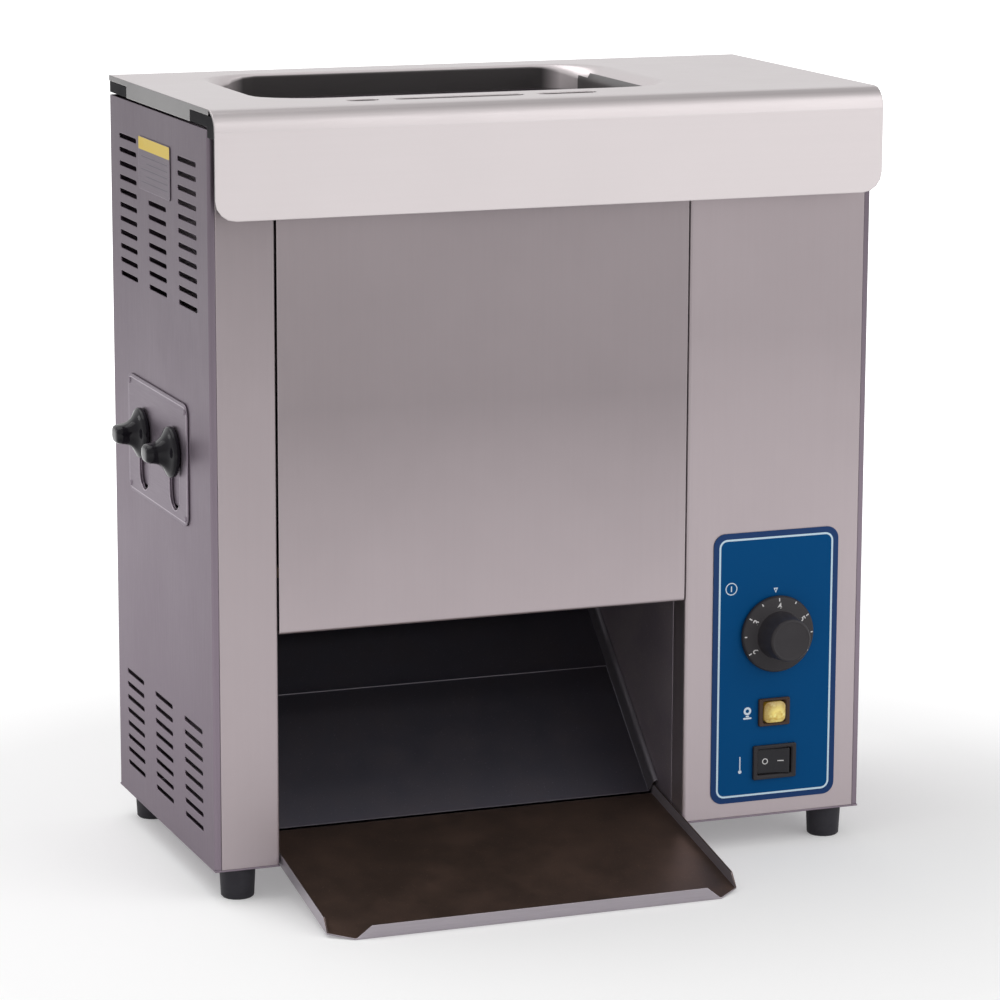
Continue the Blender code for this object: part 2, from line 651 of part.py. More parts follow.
def build_top_cover(steel):
    """Make the top cover as one surface with a drawn feed lip, thickened inwards."""
    bm = bmesh.new()
    bend_start = LID_BEND - SKIRT_FACE
    slots = [slot(((left + right) / 2, LID_SLOT_Y), right - left, LID_SLOT_WIDTH)
             for left, right in LID_SLOTS]
    edges = [feed_loop(step * math.pi / 2 / LIP_STEPS) for step in range(LIP_STEPS + 1)]
    edges.append([(x, y, TOP - LIP_DEPTH - LIP_DROP) for x, y, _ in edges[-1]])
    loops = [rectangle((0, bend_start), (WIDTH, DEPTH)), [(x, y) for x, y, _ in edges[0]], *slots]
    flat = [point for loop in loops for point in loop]
    corners = [bm.verts.new((x, y, TOP)) for x, y in flat]
    for triangle in tessellate_polygon([[Vector((x, y, 0)) for x, y in loop] for loop in loops]):
        bm.faces.new([corners[corner] for corner in triangle])
    for outer, inner in zip(edges, edges[1:]):
        for index, corner in enumerate(outer):
            after = (index + 1) % len(outer)
            lid_face(bm, [corner, outer[after], inner[after]])
            lid_face(bm, [corner, inner[after], inner[index]])
    bend = arc((bend_start, TOP - LID_BEND), LID_BEND, 90, 180, LID_BEND_STEPS)
    for (ya, za), (yb, zb) in zip(bend, bend[1:]):
        lid_face(bm, [(0, ya, za), (WIDTH, ya, za), (WIDTH, yb, zb), (0, yb, zb)])
    skirt = arc((SKIRT_CORNER, SKIRT_LOW + SKIRT_CORNER), SKIRT_CORNER, 180, 270, 4)
    skirt += arc((WIDTH - SKIRT_CORNER, SKIRT_LOW + SKIRT_CORNER), SKIRT_CORNER, 270, 360, 4)
    skirt += [(WIDTH, TOP - LID_BEND), (0, TOP - LID_BEND)]
    lid_face(bm, [(x, -SKIRT_FACE, z) for x, z in skirt])
    side = [(bend_start, TOP), (bend_start, FLANGE_EDGE), (FRONT_CAP_LENGTH, FLANGE_EDGE),
            (FRONT_CAP_LENGTH, FLANGE_LOW), (DEPTH - REAR_CAP_LENGTH, FLANGE_LOW),
            (DEPTH - REAR_CAP_LENGTH, FLANGE_EDGE), (DEPTH, FLANGE_EDGE), (DEPTH, TOP)]
    for x in (0, WIDTH):
        lid_face(bm, [(x, y, z) for y, z in side])
    rear = [(0, TOP), (0, FLANGE_EDGE), (REAR_CAP_WRAP, FLANGE_EDGE), (REAR_CAP_WRAP, FLANGE_LOW),
            (WIDTH - REAR_CAP_WRAP, FLANGE_LOW), (WIDTH - REAR_CAP_WRAP, FLANGE_EDGE), (WIDTH, FLANGE_EDGE),
            (WIDTH, TOP)]
    lid_face(bm, [(x, DEPTH, z) for x, z in rear])
    bmesh.ops.remove_doubles(bm, verts=bm.verts, dist=GAP / 100)
    bmesh.ops.recalc_face_normals(bm, faces=bm.faces)
    if max(bm.faces, key=lambda face: face.calc_center_median().z).normal.z < 0:
        bmesh.ops.reverse_faces(bm, faces=bm.faces)
    cover = add_surface("top_cover", bm, steel, "top_cover_lift")
    shell = cover.modifiers.new("sheet", "SOLIDIFY")
    shell.thickness = LID_SHEET
    shell.offset = -1
    shell.use_even_offset = True


def add_surface(name, bm, finish, on):
    """Add an open surface as an object, keeping its face directions."""
    holder, origin = CARRIERS[on]
    bmesh.ops.translate(bm, verts=bm.verts, vec=-origin)
    mesh = bpy.data.meshes.new(name)
    bm.to_mesh(mesh)
    bm.free()
    obj = bpy.data.objects.new(name, mesh)
    bpy.context.scene.collection.objects.link(obj)
    obj.parent = holder
    mesh.materials.append(finish)
    mesh.shade_smooth()
    mesh.set_sharp_from_angle(angle=math.radians(35))
    return obj


def build_corner_trims(plastic):
    """Make the black trim under each end of the top cover, full at the corners."""
    high = FLANGE_EDGE - GAP
    low = FLANGE_LOW + GAP
    bend_centre = (LID_BEND - SKIRT_FACE, TOP - LID_BEND)
    reach = LID_BEND - LID_SHEET - GAP
    start = math.degrees(math.asin((high - bend_centre[1]) / reach))
    front = [(FRONT_CAP_LENGTH - GAP, low), (FRONT_CAP_LENGTH - GAP, high)]
    front += arc(bend_centre, reach, 2 * QUARTER_TURN - start, 2 * QUARTER_TURN, 4)
    front += [(bend_centre[0] - reach, CAP_LOW), (-GAP, CAP_LOW), (-GAP, low)]
    on = "top_cover_lift"
    for name, outer, way in (("left", 0, 1), ("right", WIDTH, -1)):
        near, far = sorted((outer, outer + way * CAP_WIDTH))
        trim = add_object(f"{name}_corner_trim", plate(front, "X", near, far), plastic, on)
        corner = arc((outer + way * BEND, DEPTH - BEND), BEND, QUARTER_TURN, QUARTER_TURN * (1 + way), 3)
        rear = [(outer + way * CAP_WIDTH, DEPTH - CAP_WIDTH),
                (outer + way * (REAR_CAP_WRAP - GAP), DEPTH - CAP_WIDTH),
                (outer + way * (REAR_CAP_WRAP - GAP), DEPTH), *corner,
                (outer, DEPTH - REAR_CAP_LENGTH + GAP),
                (outer + way * CAP_WIDTH, DEPTH - REAR_CAP_LENGTH + GAP)]
        combine(trim, plate(rear, "Z", low, high), "UNION", on)
        near, far = sorted((outer + way * (LID_SHEET + GAP), outer + way * STRIP_WIDTH))
        strip = box((near, FRONT_CAP_LENGTH - OVERRUN, low + GAP),
                    (far, DEPTH - REAR_CAP_LENGTH + OVERRUN, high - GAP))
        combine(trim, strip, "UNION", on)


# The toasting chamber

BULKHEAD_FLANGE = 14 * MM
BUSH_RADIUS = 8 * MM
BUSH_FLANGE = 11 * MM
BUSH_LIP = 2 * MM
BUSH_INNER = 4 * MM
BAR_HALF_HEIGHT = 5 * MM
CHAMBER_BACK_SETBACK = 12 * MM
CHAMBER_BACK_Y = DEPTH - CHAMBER_BACK_SETBACK
CHAMBER_BACK_LOW = 218 * MM
CHAMBER_BACK_FLANGE = 8 * MM
CAM_PIN_RADIUS = 4 * MM
PIN_WINDOW = (9 * MM, 9 * MM)
HEATER_RADIUS = 5.5 * MM
HEATER_END = 49.5 * MM
HEATER_WINDOW = 3 * MM
CHAMBER_MARGIN = 0.3 * MM
IN_LEFT = CHAMBER_LEFT + CHAMBER_MARGIN
IN_RIGHT = CHAMBER_RIGHT - CHAMBER_MARGIN
PIN_SHIFT = math.sin(CONVEYOR_TILT) * (KNOB_Z - DRIVE_Z)


def heater_heights():
    """Return the heights of the cartridge heaters in the platen."""
    low, high = PLATEN_LOW + HEATER_END, PLATEN_HIGH - HEATER_END
    return [low, (low + high) / 2, high]


def bulkhead_openings(x):
    """Cut a bulkhead for the drive shafts' bushes."""
    bm = bmesh.new()
    for y in (FRONT_BELT_Y, REAR_BELT_Y):
        add_rod(bm, BUSH_RADIUS + GAP, (0, y, DRIVE_Z), "X", x - OVERRUN, x + OVERRUN)
    return bm


def build_left_bulkhead(steel):
    """Make the left wall of the chamber, with a window for each conveyor's cam pin."""
    inner = CHAMBER_LEFT - BULKHEAD_FLANGE
    path = [(inner, PANEL_LOW), (CHAMBER_LEFT, PANEL_LOW), (CHAMBER_LEFT, BULKHEAD_TOP),
            (inner, BULKHEAD_TOP)]
    wall = plate(bent_strip(path, SHEET), "Y", BULKHEAD_FRONT, BULKHEAD_REAR)
    wall = add_object("left_bulkhead", wall, steel)
    middle = CHAMBER_LEFT - SHEET / 2
    bm = bulkhead_openings(middle)
    for y, way in ((FRONT_BELT_Y, 1), (REAR_BELT_Y, -1)):
        near, far = sorted((y - way * PIN_WINDOW[0], y + way * (PIN_WINDOW[0] + PIN_SHIFT)))
        outline = rectangle((near, KNOB_Z - PIN_WINDOW[1]), (far, KNOB_Z + PIN_WINDOW[1]))
        add_plate(bm, outline, "X", middle - OVERRUN, middle + OVERRUN)
    combine(wall, bm, "DIFFERENCE")


def build_right_bulkhead(steel):
    """Make the right wall of the chamber, with heater windows and the idler sprocket's stud."""
    outer = CHAMBER_RIGHT + BULKHEAD_FLANGE
    top = TOP - LIP_DEPTH - LIP_DROP - 2 * GAP
    path = [(outer, top), (CHAMBER_RIGHT, top), (CHAMBER_RIGHT, PANEL_LOW), (outer, PANEL_LOW)]
    wall = plate(bent_strip(path, SHEET), "Y", BULKHEAD_FRONT, BULKHEAD_REAR)
    wall = add_object("right_bulkhead", wall, steel)
    middle = CHAMBER_RIGHT + SHEET / 2
    bm = bulkhead_openings(middle)
    for z in heater_heights():
        add_rod(bm, HEATER_RADIUS + HEATER_WINDOW, (0, PLATEN_Y, z), "X", middle - OVERRUN, middle + OVERRUN)
    combine(wall, bm, "DIFFERENCE")
    stud = add_rod(bmesh.new(), IDLER_STUD, (0, *IDLER_SPROCKET), "X", middle, SPROCKET_OUTER + GAP)
    combine(wall, stud, "UNION")


def build_chamber_back(steel):
    """Make the rear wall of the chamber, flanged back at the top."""
    path = [(CHAMBER_BACK_Y + CHAMBER_BACK_FLANGE, BULKHEAD_TOP), (CHAMBER_BACK_Y, BULKHEAD_TOP),
            (CHAMBER_BACK_Y, CHAMBER_BACK_LOW)]
    strip = bent_strip(path, SHEET)
    back = plate(strip, "X", IN_LEFT, IN_RIGHT)
    add_object("chamber_back", back, steel)


DIVIDER_FROM_TOP = 23 * MM
DIVIDER_HEIGHT = 26 * MM
DIVIDER_TOP = TOP - DIVIDER_FROM_TOP
DIVIDER_LOW = DIVIDER_TOP - DIVIDER_HEIGHT
DIVIDER_SPREAD = 18 * MM
GUIDE_FLANGE = 10 * MM
GUIDE_FROM_TOP = 27 * MM
GUIDE_HEIGHT = 16 * MM
GUIDE_TOP = TOP - GUIDE_FROM_TOP
GUIDE_LOW = GUIDE_TOP - GUIDE_HEIGHT
GUIDE_REACH = 40 * MM


def build_feed_pieces(steel):
    """Make the divider over the platen and the guides that lead the buns to both gaps."""
    path = [(PLATEN_Y - DIVIDER_SPREAD, DIVIDER_LOW), (PLATEN_Y, DIVIDER_TOP),
            (PLATEN_Y + DIVIDER_SPREAD, DIVIDER_LOW)]
    strip = bent_strip(path[::-1], SHEET)
    add_object("feed_divider", plate(strip, "X", IN_LEFT, IN_RIGHT), steel)
    front = [(FEED_FRONT, GUIDE_TOP - GUIDE_FLANGE), (FEED_FRONT, GUIDE_TOP),
             (FEED_FRONT + GUIDE_REACH, GUIDE_LOW)]
    rear = [(2 * PLATEN_Y - y, z) for y, z in front]
    for name, way in (("front_feed_guide", front[::-1]), ("rear_feed_guide", rear)):
        add_object(name, plate(bent_strip(way, SHEET), "X", IN_LEFT, IN_RIGHT), steel)


LUG_HEIGHT = 26 * MM
LUG_SHARES = (0.02, 0.9)
PLATEN_SIDE = 10 * MM
HEATER_STANDOUT = 24 * MM
HEATER_PLATE = 1.5 * MM
HEATER_PLATE_WIDTH = 15 * MM
HEATER_PLATE_FROM_WALL = 15 * MM
RELEASE_SIDE = 4 * MM
RELEASE_LOW = 222 * MM


def build_platen(aluminium):
    """Make the cast platen with its bored heater seats and four lugs."""
    left, right = CHAMBER_LEFT + PLATEN_SIDE, CHAMBER_RIGHT - PLATEN_SIDE
    half = PLATEN_THICKNESS / 2
    rise = PLATEN_HIGH - PLATEN_LOW
    body = box((left, PLATEN_Y - half, PLATEN_LOW), (right, PLATEN_Y + half, PLATEN_HIGH))
    block = add_object("platen", body, aluminium)
    bm = bmesh.new()
    for near, far in ((IN_LEFT, left + OVERRUN), (right - OVERRUN, IN_RIGHT)):
        for share in LUG_SHARES:
            low = PLATEN_LOW + rise * share
            add_box(bm, (near, PLATEN_Y - half + GAP, low), (far, PLATEN_Y + half - GAP, low + LUG_HEIGHT))
    combine(block, bm, "UNION")
    bm = bmesh.new()
    for z in heater_heights():
        add_rod(bm, HEATER_RADIUS + GAP, (0, PLATEN_Y, z), "X", left + PLATEN_SIDE, right + OVERRUN, 12)
    combine(block, bm, "DIFFERENCE")


def build_cartridge_heaters(steel):
    """Make the three heaters that lie in the platen, held by one plate in the right bay."""
    low, high = CHAMBER_LEFT + 2 * PLATEN_SIDE + GAP, CHAMBER_RIGHT + HEATER_STANDOUT
    heights = heater_heights()
    outline = slot((PLATEN_Y, heights[1]), heights[2] - heights[0] + HEATER_PLATE_WIDTH, HEATER_PLATE_WIDTH,
                   True)
    plate_at = CHAMBER_RIGHT + HEATER_PLATE_FROM_WALL
    heaters = add_object("cartridge_heaters", plate(outline, "X", plate_at, plate_at + HEATER_PLATE), steel,
                         smooth=True)
    for z in heights:
        bm = add_rod(bmesh.new(), HEATER_RADIUS, (0, PLATEN_Y, z), "X", low, high, 12)
        combine(heaters, bm, "UNION")


def build_release_sheet(fabric):
    """Make the non-stick sheet that hangs over both faces of the platen."""
    left, right = CHAMBER_LEFT + PLATEN_SIDE + RELEASE_SIDE, CHAMBER_RIGHT - PLATEN_SIDE - RELEASE_SIDE
    reach = PLATEN_THICKNESS / 2 + GAP + RELEASE_SHEET
    high = PLATEN_HIGH + GAP + RELEASE_SHEET
    path = [(PLATEN_Y - reach, RELEASE_LOW), (PLATEN_Y - reach, high), (PLATEN_Y + reach, high),
            (PLATEN_Y + reach, RELEASE_LOW)]
    strip = bent_strip(path[::-1], RELEASE_SHEET, GAP + RELEASE_SHEET, 2)
    add_object("release_sheet", plate(strip, "X", left, right), fabric)


# Conveyors: index 0 is the front one, index 1 the rear one

FRAME_SHEET = 1.5 * MM
FRAME_SIDE = 8 * MM
FRAME_HALF_DEPTH = 13 * MM
FRAME_END = 13 * MM
BACKING_FROM_ROLLER = 6 * MM
BACKING_GAP = 2 * MM
IDLER_JOURNAL = 5 * MM
RUNNING_GAP = 0.3 * MM
ROLLER_SIDE = 1 * MM
PIN_REACH = 15 * MM
SPROCKET_SIDE = 2.7 * MM
SPROCKET_THICKNESS = 4 * MM
SPROCKET_INNER = CHAMBER_RIGHT + SHEET + BUSH_LIP + 2 * GAP + SPROCKET_SIDE
SPROCKET_OUTER = SPROCKET_INNER + SPROCKET_THICKNESS
SHAFT_STANDOUT = 5 * MM
CONVEYORS = (("front", FRONT_BELT_Y, 1), ("rear", REAR_BELT_Y, -1))


def build_conveyor(name, y, way, steel, rubber, belt_finish):
    """Make one conveyor: frame, drive roller on its shaft, idler roller and belt."""
    tilt, spin, idle = f"{name}_conveyor_tilt", f"{name}_drive_spin", f"{name}_idler_spin"
    left, right = BELT_LEFT - FRAME_SIDE, BELT_RIGHT + FRAME_SIDE
    middle = (DRIVE_Z + IDLER_Z) / 2
    rise = IDLER_Z - DRIVE_Z + 2 * FRAME_END
    holes = [circle((y, DRIVE_Z), SHAFT_RADIUS + 2 * RUNNING_GAP),
             circle((y, IDLER_Z), IDLER_JOURNAL + RUNNING_GAP)]
    outline = slot((y, middle), rise, 2 * FRAME_HALF_DEPTH, upright=True)
    frame = add_object(f"{name}_conveyor_frame", plate(outline, "X", left, left + FRAME_SHEET, holes), steel,
                       tilt)
    combine(frame, plate(outline, "X", right - FRAME_SHEET, right, holes), "UNION", tilt)
    face = y + way * (ROLLER_RADIUS - BACKING_GAP)
    backing_low = DRIVE_Z + ROLLER_RADIUS + BACKING_FROM_ROLLER
    backing_high = IDLER_Z - ROLLER_RADIUS - BACKING_FROM_ROLLER
    near, far = sorted((face, face - way * FRAME_SHEET))
    near_rib, far_rib = sorted((face, y - way * FRAME_SHEET))
    backing = box((left + FRAME_SHEET / 2, near, backing_low), (right - FRAME_SHEET / 2, far, backing_high))
    combine(frame, backing, "UNION", tilt)
    for x in (left, right - FRAME_SHEET):
        rib = box((x, near_rib, backing_low), (x + FRAME_SHEET, far_rib, backing_high))
        combine(frame, rib, "UNION", tilt)
    pin = add_rod(bmesh.new(), CAM_PIN_RADIUS, (0, y, KNOB_Z), "X", CHAMBER_LEFT - PIN_REACH,
                  left + FRAME_SHEET / 2)
    combine(frame, pin, "UNION", tilt)

    low, high = BELT_LEFT + ROLLER_SIDE, BELT_RIGHT - ROLLER_SIDE
    start, end = CHAMBER_LEFT - SHAFT_STANDOUT, SPROCKET_OUTER + SHAFT_STANDOUT
    profile = [(0, start), (SHAFT_RADIUS, start), (SHAFT_RADIUS, low), (ROLLER_RADIUS, low),
               (ROLLER_RADIUS, high), (SHAFT_RADIUS, high), (SHAFT_RADIUS, end), (0, end)]
    roller = add_turned(bmesh.new(), profile, (0, y, DRIVE_Z), "X")
    add_object(f"{name}_drive_roller", roller, rubber, spin, smooth=True)
    profile = [(0, left), (IDLER_JOURNAL, left), (IDLER_JOURNAL, low), (ROLLER_RADIUS, low),
               (ROLLER_RADIUS, high), (IDLER_JOURNAL, high), (IDLER_JOURNAL, right), (0, right)]
    idler = add_turned(bmesh.new(), profile, (0, y, IDLER_Z), "X")
    add_object(f"{name}_idler_roller", idler, steel, idle, smooth=True)

    wheels = [((y, DRIVE_Z), ROLLER_RADIUS + GAP, 1), ((y, IDLER_Z), ROLLER_RADIUS + GAP, 1)]
    path = belt_path(wheels, 16)
    inner = [tuple(spot) for spot, _ in path]
    outer = [tuple(spot - normal * BELT_THICKNESS) for spot, normal in path]
    add_object(f"{name}_belt", plate(outer, "X", BELT_LEFT, BELT_RIGHT, [inner]), belt_finish, tilt,
               smooth=True)


def build_bearing_bars(brass):
    """Make the bar outside each bulkhead that carries both drive shafts in its bushes."""
    bore = SHAFT_RADIUS + RUNNING_GAP
    for name, wall, way in (("left", CHAMBER_LEFT - SHEET, 1), ("right", CHAMBER_RIGHT + SHEET, -1)):
        near, far = sorted((wall - way * (BUSH_LIP + GAP), wall - way * 2 * GAP))
        low = (FRONT_BELT_Y + BUSH_RADIUS, DRIVE_Z - BAR_HALF_HEIGHT)
        high = (REAR_BELT_Y - BUSH_RADIUS, DRIVE_Z + BAR_HALF_HEIGHT)
        bar = add_object(f"{name}_bearing_bar", plate(rectangle(low, high), "X", near, far), brass,
                         smooth=True)
        back, face, tip = wall - way * (BUSH_LIP + 2 * GAP), wall - way * GAP, wall + way * BUSH_INNER
        profile = [(0, back), (BUSH_FLANGE, back), (BUSH_FLANGE, face), (BUSH_RADIUS, face),
                   (BUSH_RADIUS, tip), (0, tip)]
        for _, y, _ in CONVEYORS:
            combine(bar, add_turned(bmesh.new(), profile, (0, y, DRIVE_Z), "X"), "UNION")
        start, end = sorted((back - way * OVERRUN, tip + way * OVERRUN))
        bm = bmesh.new()
        for _, y, _ in CONVEYORS:
            add_rod(bm, bore, (0, y, DRIVE_Z), "X", start, end, 20)
        combine(bar, bm, "DIFFERENCE")


# Adjusters: knob, carriage and cam slot

CARRIAGE_SHEET = 1.5 * MM
CARRIAGE_HALF = 18 * MM
CARRIAGE_ABOVE = 46 * MM
CARRIAGE_BELOW = 43 * MM
CAM_FACE = 41 * MM
CAM_CLEARANCE = 0.3 * MM
CAM_SLOT_SPARE = 1 * MM
CAM_PLATE_REACH = 27 * MM
CAM_WEB = 10 * MM
BOSS_FACE = 1.8 * MM
STUD_REACH = 20 * MM
GUIDE_HOLD = 5 * MM
GUIDE_SHEET = 1.2 * MM


def carriage_back(y, pin_y, way):
    """Return where a carriage's web stands, beyond its cam slot and its knob's plate."""
    places = (y - way * CARRIAGE_HALF, pin_y - way * CAM_WEB)
    return min(places) if way > 0 else max(places)


def build_carriage(name, y, pin_y, way, steel):
    """Make the folded carriage that joins a knob's stud to its conveyor's cam pin."""
    on = f"{name}_adjuster_slide"
    back = carriage_back(y, pin_y, way)
    path = [(SKIN, y + way * CARRIAGE_HALF), (SKIN, back), (CAM_FACE, back),
            (CAM_FACE, back + way * CAM_PLATE_REACH)]
    strip = bent_strip(path if way > 0 else path[::-1], CARRIAGE_SHEET)
    low, high = KNOB_Z - CARRIAGE_BELOW, KNOB_Z + CARRIAGE_ABOVE
    body = add_object(f"{name}_adjuster_carriage", plate(strip, "Z", low, high), steel, on)
    run = ADJUSTER_TRAVEL + 2 * (CAM_PIN_RADIUS + CAM_CLEARANCE + CAM_SLOT_SPARE)
    lean = math.atan2(way * PIN_SHIFT, ADJUSTER_TRAVEL)
    upright = slot((0, 0), run, 2 * (CAM_PIN_RADIUS + CAM_CLEARANCE), upright=True, steps=6)
    middle = (pin_y + way * PIN_SHIFT / 2, KNOB_Z + ADJUSTER_TRAVEL / 2)
    leaning = [(middle[0] + u * math.cos(lean) + v * math.sin(lean),
                middle[1] + v * math.cos(lean) - u * math.sin(lean))
               for u, v in upright]
    cam = plate(leaning, "X", CAM_FACE - CARRIAGE_SHEET - OVERRUN, CAM_FACE + OVERRUN)
    combine(body, cam, "DIFFERENCE", on)
    boss = add_rod(bmesh.new(), BOSS_RADIUS, (0, y, KNOB_Z), "X", -BOSS_FACE, SKIN + CARRIAGE_SHEET / 2)
    combine(body, boss, "UNION", on)
    stud = add_rod(bmesh.new(), STUD_RADIUS, (0, y, KNOB_Z), "X", -STUD_REACH, 0, 12)
    combine(body, stud, "UNION", on)


def build_carriage_guide(steel):
    """Make the folded strip between the carriages that holds both to the side panel."""
    lift, fold = SKIN + CARRIAGE_SHEET + GAP, GAP + GUIDE_SHEET
    low, high = KNOB_Z - CARRIAGE_BELOW - ADJUSTER_TRAVEL, KNOB_Z + CARRIAGE_ABOVE
    front, rear = FRONT_KNOB_Y + CARRIAGE_HALF, REAR_KNOB_Y - CARRIAGE_HALF
    outline = [(SKIN, front + GAP), (SKIN, rear - GAP), (lift, rear - GAP), (lift, rear + GUIDE_HOLD),
               (lift + GUIDE_SHEET, rear + GUIDE_HOLD), (lift + GUIDE_SHEET, rear - fold),
               (SKIN + GUIDE_SHEET, rear - fold), (SKIN + GUIDE_SHEET, front + fold),
               (lift + GUIDE_SHEET, front + fold), (lift + GUIDE_SHEET, front - GUIDE_HOLD),
               (lift, front - GUIDE_HOLD), (lift, front + GAP)]
    add_object("carriage_guide", plate(outline, "Z", low, high), steel)


KNOB_FLANGE_RADIUS = 20 * MM
KNOB_FLANGE = 5 * MM
KNOB_FLARE = 8 * MM
KNOB_GRIP_HALF = 7.5 * MM
KNOB_TIP_ROUND = 3 * MM
KNOB_TIP_RADIUS = 10 * MM
KNOB_BACK = BOSS_FACE + GAP


def build_adjuster_knob(name, y, plastic):
    """Make a lever knob: a round flange that flares in to a flat grip."""
    on = f"{name}_knob_turn"
    face, flare, tip = KNOB_BACK + KNOB_FLANGE, KNOB_BACK + KNOB_FLANGE + KNOB_FLARE, KNOB_REACH
    half = KNOB_FLANGE_RADIUS + OVERRUN
    rise = KNOB_FLANGE_RADIUS - KNOB_GRIP_HALF
    side = [(KNOB_BACK - OVERRUN, half), (face, half), (face, KNOB_FLANGE_RADIUS)]
    for step in range(1, 5):
        angle = step * math.pi / 8
        side.append((face + KNOB_FLARE * (1 - math.cos(angle)), KNOB_FLANGE_RADIUS - rise * math.sin(angle)))
    side += [(tip - KNOB_TIP_ROUND, KNOB_GRIP_HALF), (tip + OVERRUN, KNOB_GRIP_HALF)]
    grip = [(-x, KNOB_Z + z) for x, z in side] + [(-x, KNOB_Z - z) for x, z in reversed(side)]
    turned = [(0, -KNOB_BACK), (KNOB_FLANGE_RADIUS - BEND / 2, -KNOB_BACK),
              (KNOB_FLANGE_RADIUS, -KNOB_BACK - BEND / 2),
              (KNOB_FLANGE_RADIUS, -face + BEND / 2), (KNOB_FLANGE_RADIUS - BEND / 2, -face),
              (KNOB_TIP_RADIUS, -flare),
              (KNOB_TIP_RADIUS, KNOB_TIP_ROUND - tip), (KNOB_TIP_RADIUS - KNOB_TIP_ROUND, -tip), (0, -tip)]
    body = add_turned(bmesh.new(), turned, (0, y, KNOB_Z), "X", 24)
    knob = add_object(f"{name}_adjuster_knob", body, plastic, on, smooth=True)
    bar = plate(grip, "Y", y - half, y + half)
    combine(knob, bar, "INTERSECT", on)
    bore = add_rod(bmesh.new(), STUD_RADIUS + GAP, (0, y, KNOB_Z), "X", -STUD_REACH - 2 * GAP, 0, 12)
    combine(knob, bore, "DIFFERENCE", on)


PLATE_BEFORE = 35.2 * MM
PLATE_BEHIND = 44.8 * MM
PLATE_BELOW = 53.5 * MM
PLATE_ABOVE = 42 * MM
ADJUSTER_PLATE_LOW = (FRONT_KNOB_Y - PLATE_BEFORE, KNOB_Z - PLATE_BELOW)
ADJUSTER_PLATE_HIGH = (REAR_KNOB_Y + PLATE_BEHIND, KNOB_Z + PLATE_ABOVE)
PLATE_CORNER = 9 * MM
PLATE_SCREW_INSET = 6 * MM
PLATE_SCREW_SHANK = 1.2 * MM
PLATE_SCREW_HEAD = 2.4 * MM
PLATE_SCREW_HEIGHT = 0.9 * MM
LABEL = 0.5 * MM
DATA_PLATE_Y = 98 * MM
DATA_PLATE_FROM_TOP = 39 * MM
DATA_PLATE_SIZE = (86 * MM, 41.5 * MM)
DATA_PLATE_LOW = (DATA_PLATE_Y, TOP - DATA_PLATE_FROM_TOP - DATA_PLATE_SIZE[1])
DATA_PLATE_HIGH = (DATA_PLATE_Y + DATA_PLATE_SIZE[0], TOP - DATA_PLATE_FROM_TOP)


def plate_screw_places():
    """Return where the adjuster plate's four screws stand."""
    low, high, inset = ADJUSTER_PLATE_LOW, ADJUSTER_PLATE_HIGH, PLATE_SCREW_INSET
    return [(y, z) for y in (low[0] + inset, high[0] - inset) for z in (low[1] + inset, high[1] - inset)]


def build_adjuster_plate(steel):
    """Make the plate round both adjuster slots."""
    outline = rounded_rectangle(ADJUSTER_PLATE_LOW, ADJUSTER_PLATE_HIGH, PLATE_CORNER, 4)
    holes = [adjuster_slot(y) for y in (FRONT_KNOB_Y, REAR_KNOB_Y)]
    adjuster = add_object("adjuster_plate", plate(outline, "X", -SKIN, -GAP, holes), steel)
    bm = bmesh.new()
    for y, z in plate_screw_places():
        screw(bm, (-SKIN, y, z), "X", -1, PLATE_SCREW_SHANK, PLATE_SCREW_HEAD, PLATE_SCREW_HEIGHT,
              SCREW_LENGTH / 2)
    combine(adjuster, bm, "UNION")
    panel = bpy.data.objects["left_side_panel"]
    bm = bmesh.new()
    for place in plate_screw_places():
        add_rod(bm, PLATE_SCREW_SHANK + GAP, (0, *place), "X", -OVERRUN, SHEET + OVERRUN, 8)
    combine(panel, bm, "DIFFERENCE")


def build_data_plate(steel):
    """Make the blank plate between the upper vents."""
    outline = rounded_rectangle(DATA_PLATE_LOW, DATA_PLATE_HIGH, BEND)
    add_object("data_plate", plate(outline, "X", -GAP - LABEL, -GAP), steel)


# Drive in the right bay

CHAIN_PITCH = 8 * MM
CHAIN_THICKNESS = 4 * MM
CHAIN_SIDE = 0.8 * MM
TOOTH_DEPTH = 2.5 * MM
SHAFT_TEETH = 15
SMALL_TEETH = 10
TOOTH_SHARES = (0.0, 0.25, 0.5, 0.75)
SPROCKET_SETBACK = 10.8 * MM
MOTOR_DROP = 72 * MM
IDLER_RISE = 63 * MM
MOTOR_SHAFT = (REAR_BELT_Y + SPROCKET_SETBACK, DRIVE_Z - MOTOR_DROP)
MOTOR_SHAFT_RADIUS = 5 * MM
IDLER_SPROCKET = (REAR_BELT_Y + SPROCKET_SETBACK, DRIVE_Z + IDLER_RISE)
IDLER_STUD = 4 * MM
BRACKET_FROM_SPROCKET = 12 * MM
BRACKET_X = SPROCKET_OUTER + BRACKET_FROM_SPROCKET
BRACKET_SHEET = 2.5 * MM
BRACKET_SIZE = (64 * MM, 74 * MM)
POST_RADIUS = 4 * MM
POST_SPREAD = (25 * MM, 30 * MM)
GEARBOX_SIZE = (40 * MM, 56 * MM, 66 * MM)
MOTOR_RADIUS = 28 * MM
MOTOR_CAN = 75.2 * MM
SHAFT_SEAT = 12 * MM


def pitch_radius(teeth):
    """Return the radius on which a chain's pins lie round a sprocket."""
    return CHAIN_PITCH / (2 * math.sin(math.pi / teeth))


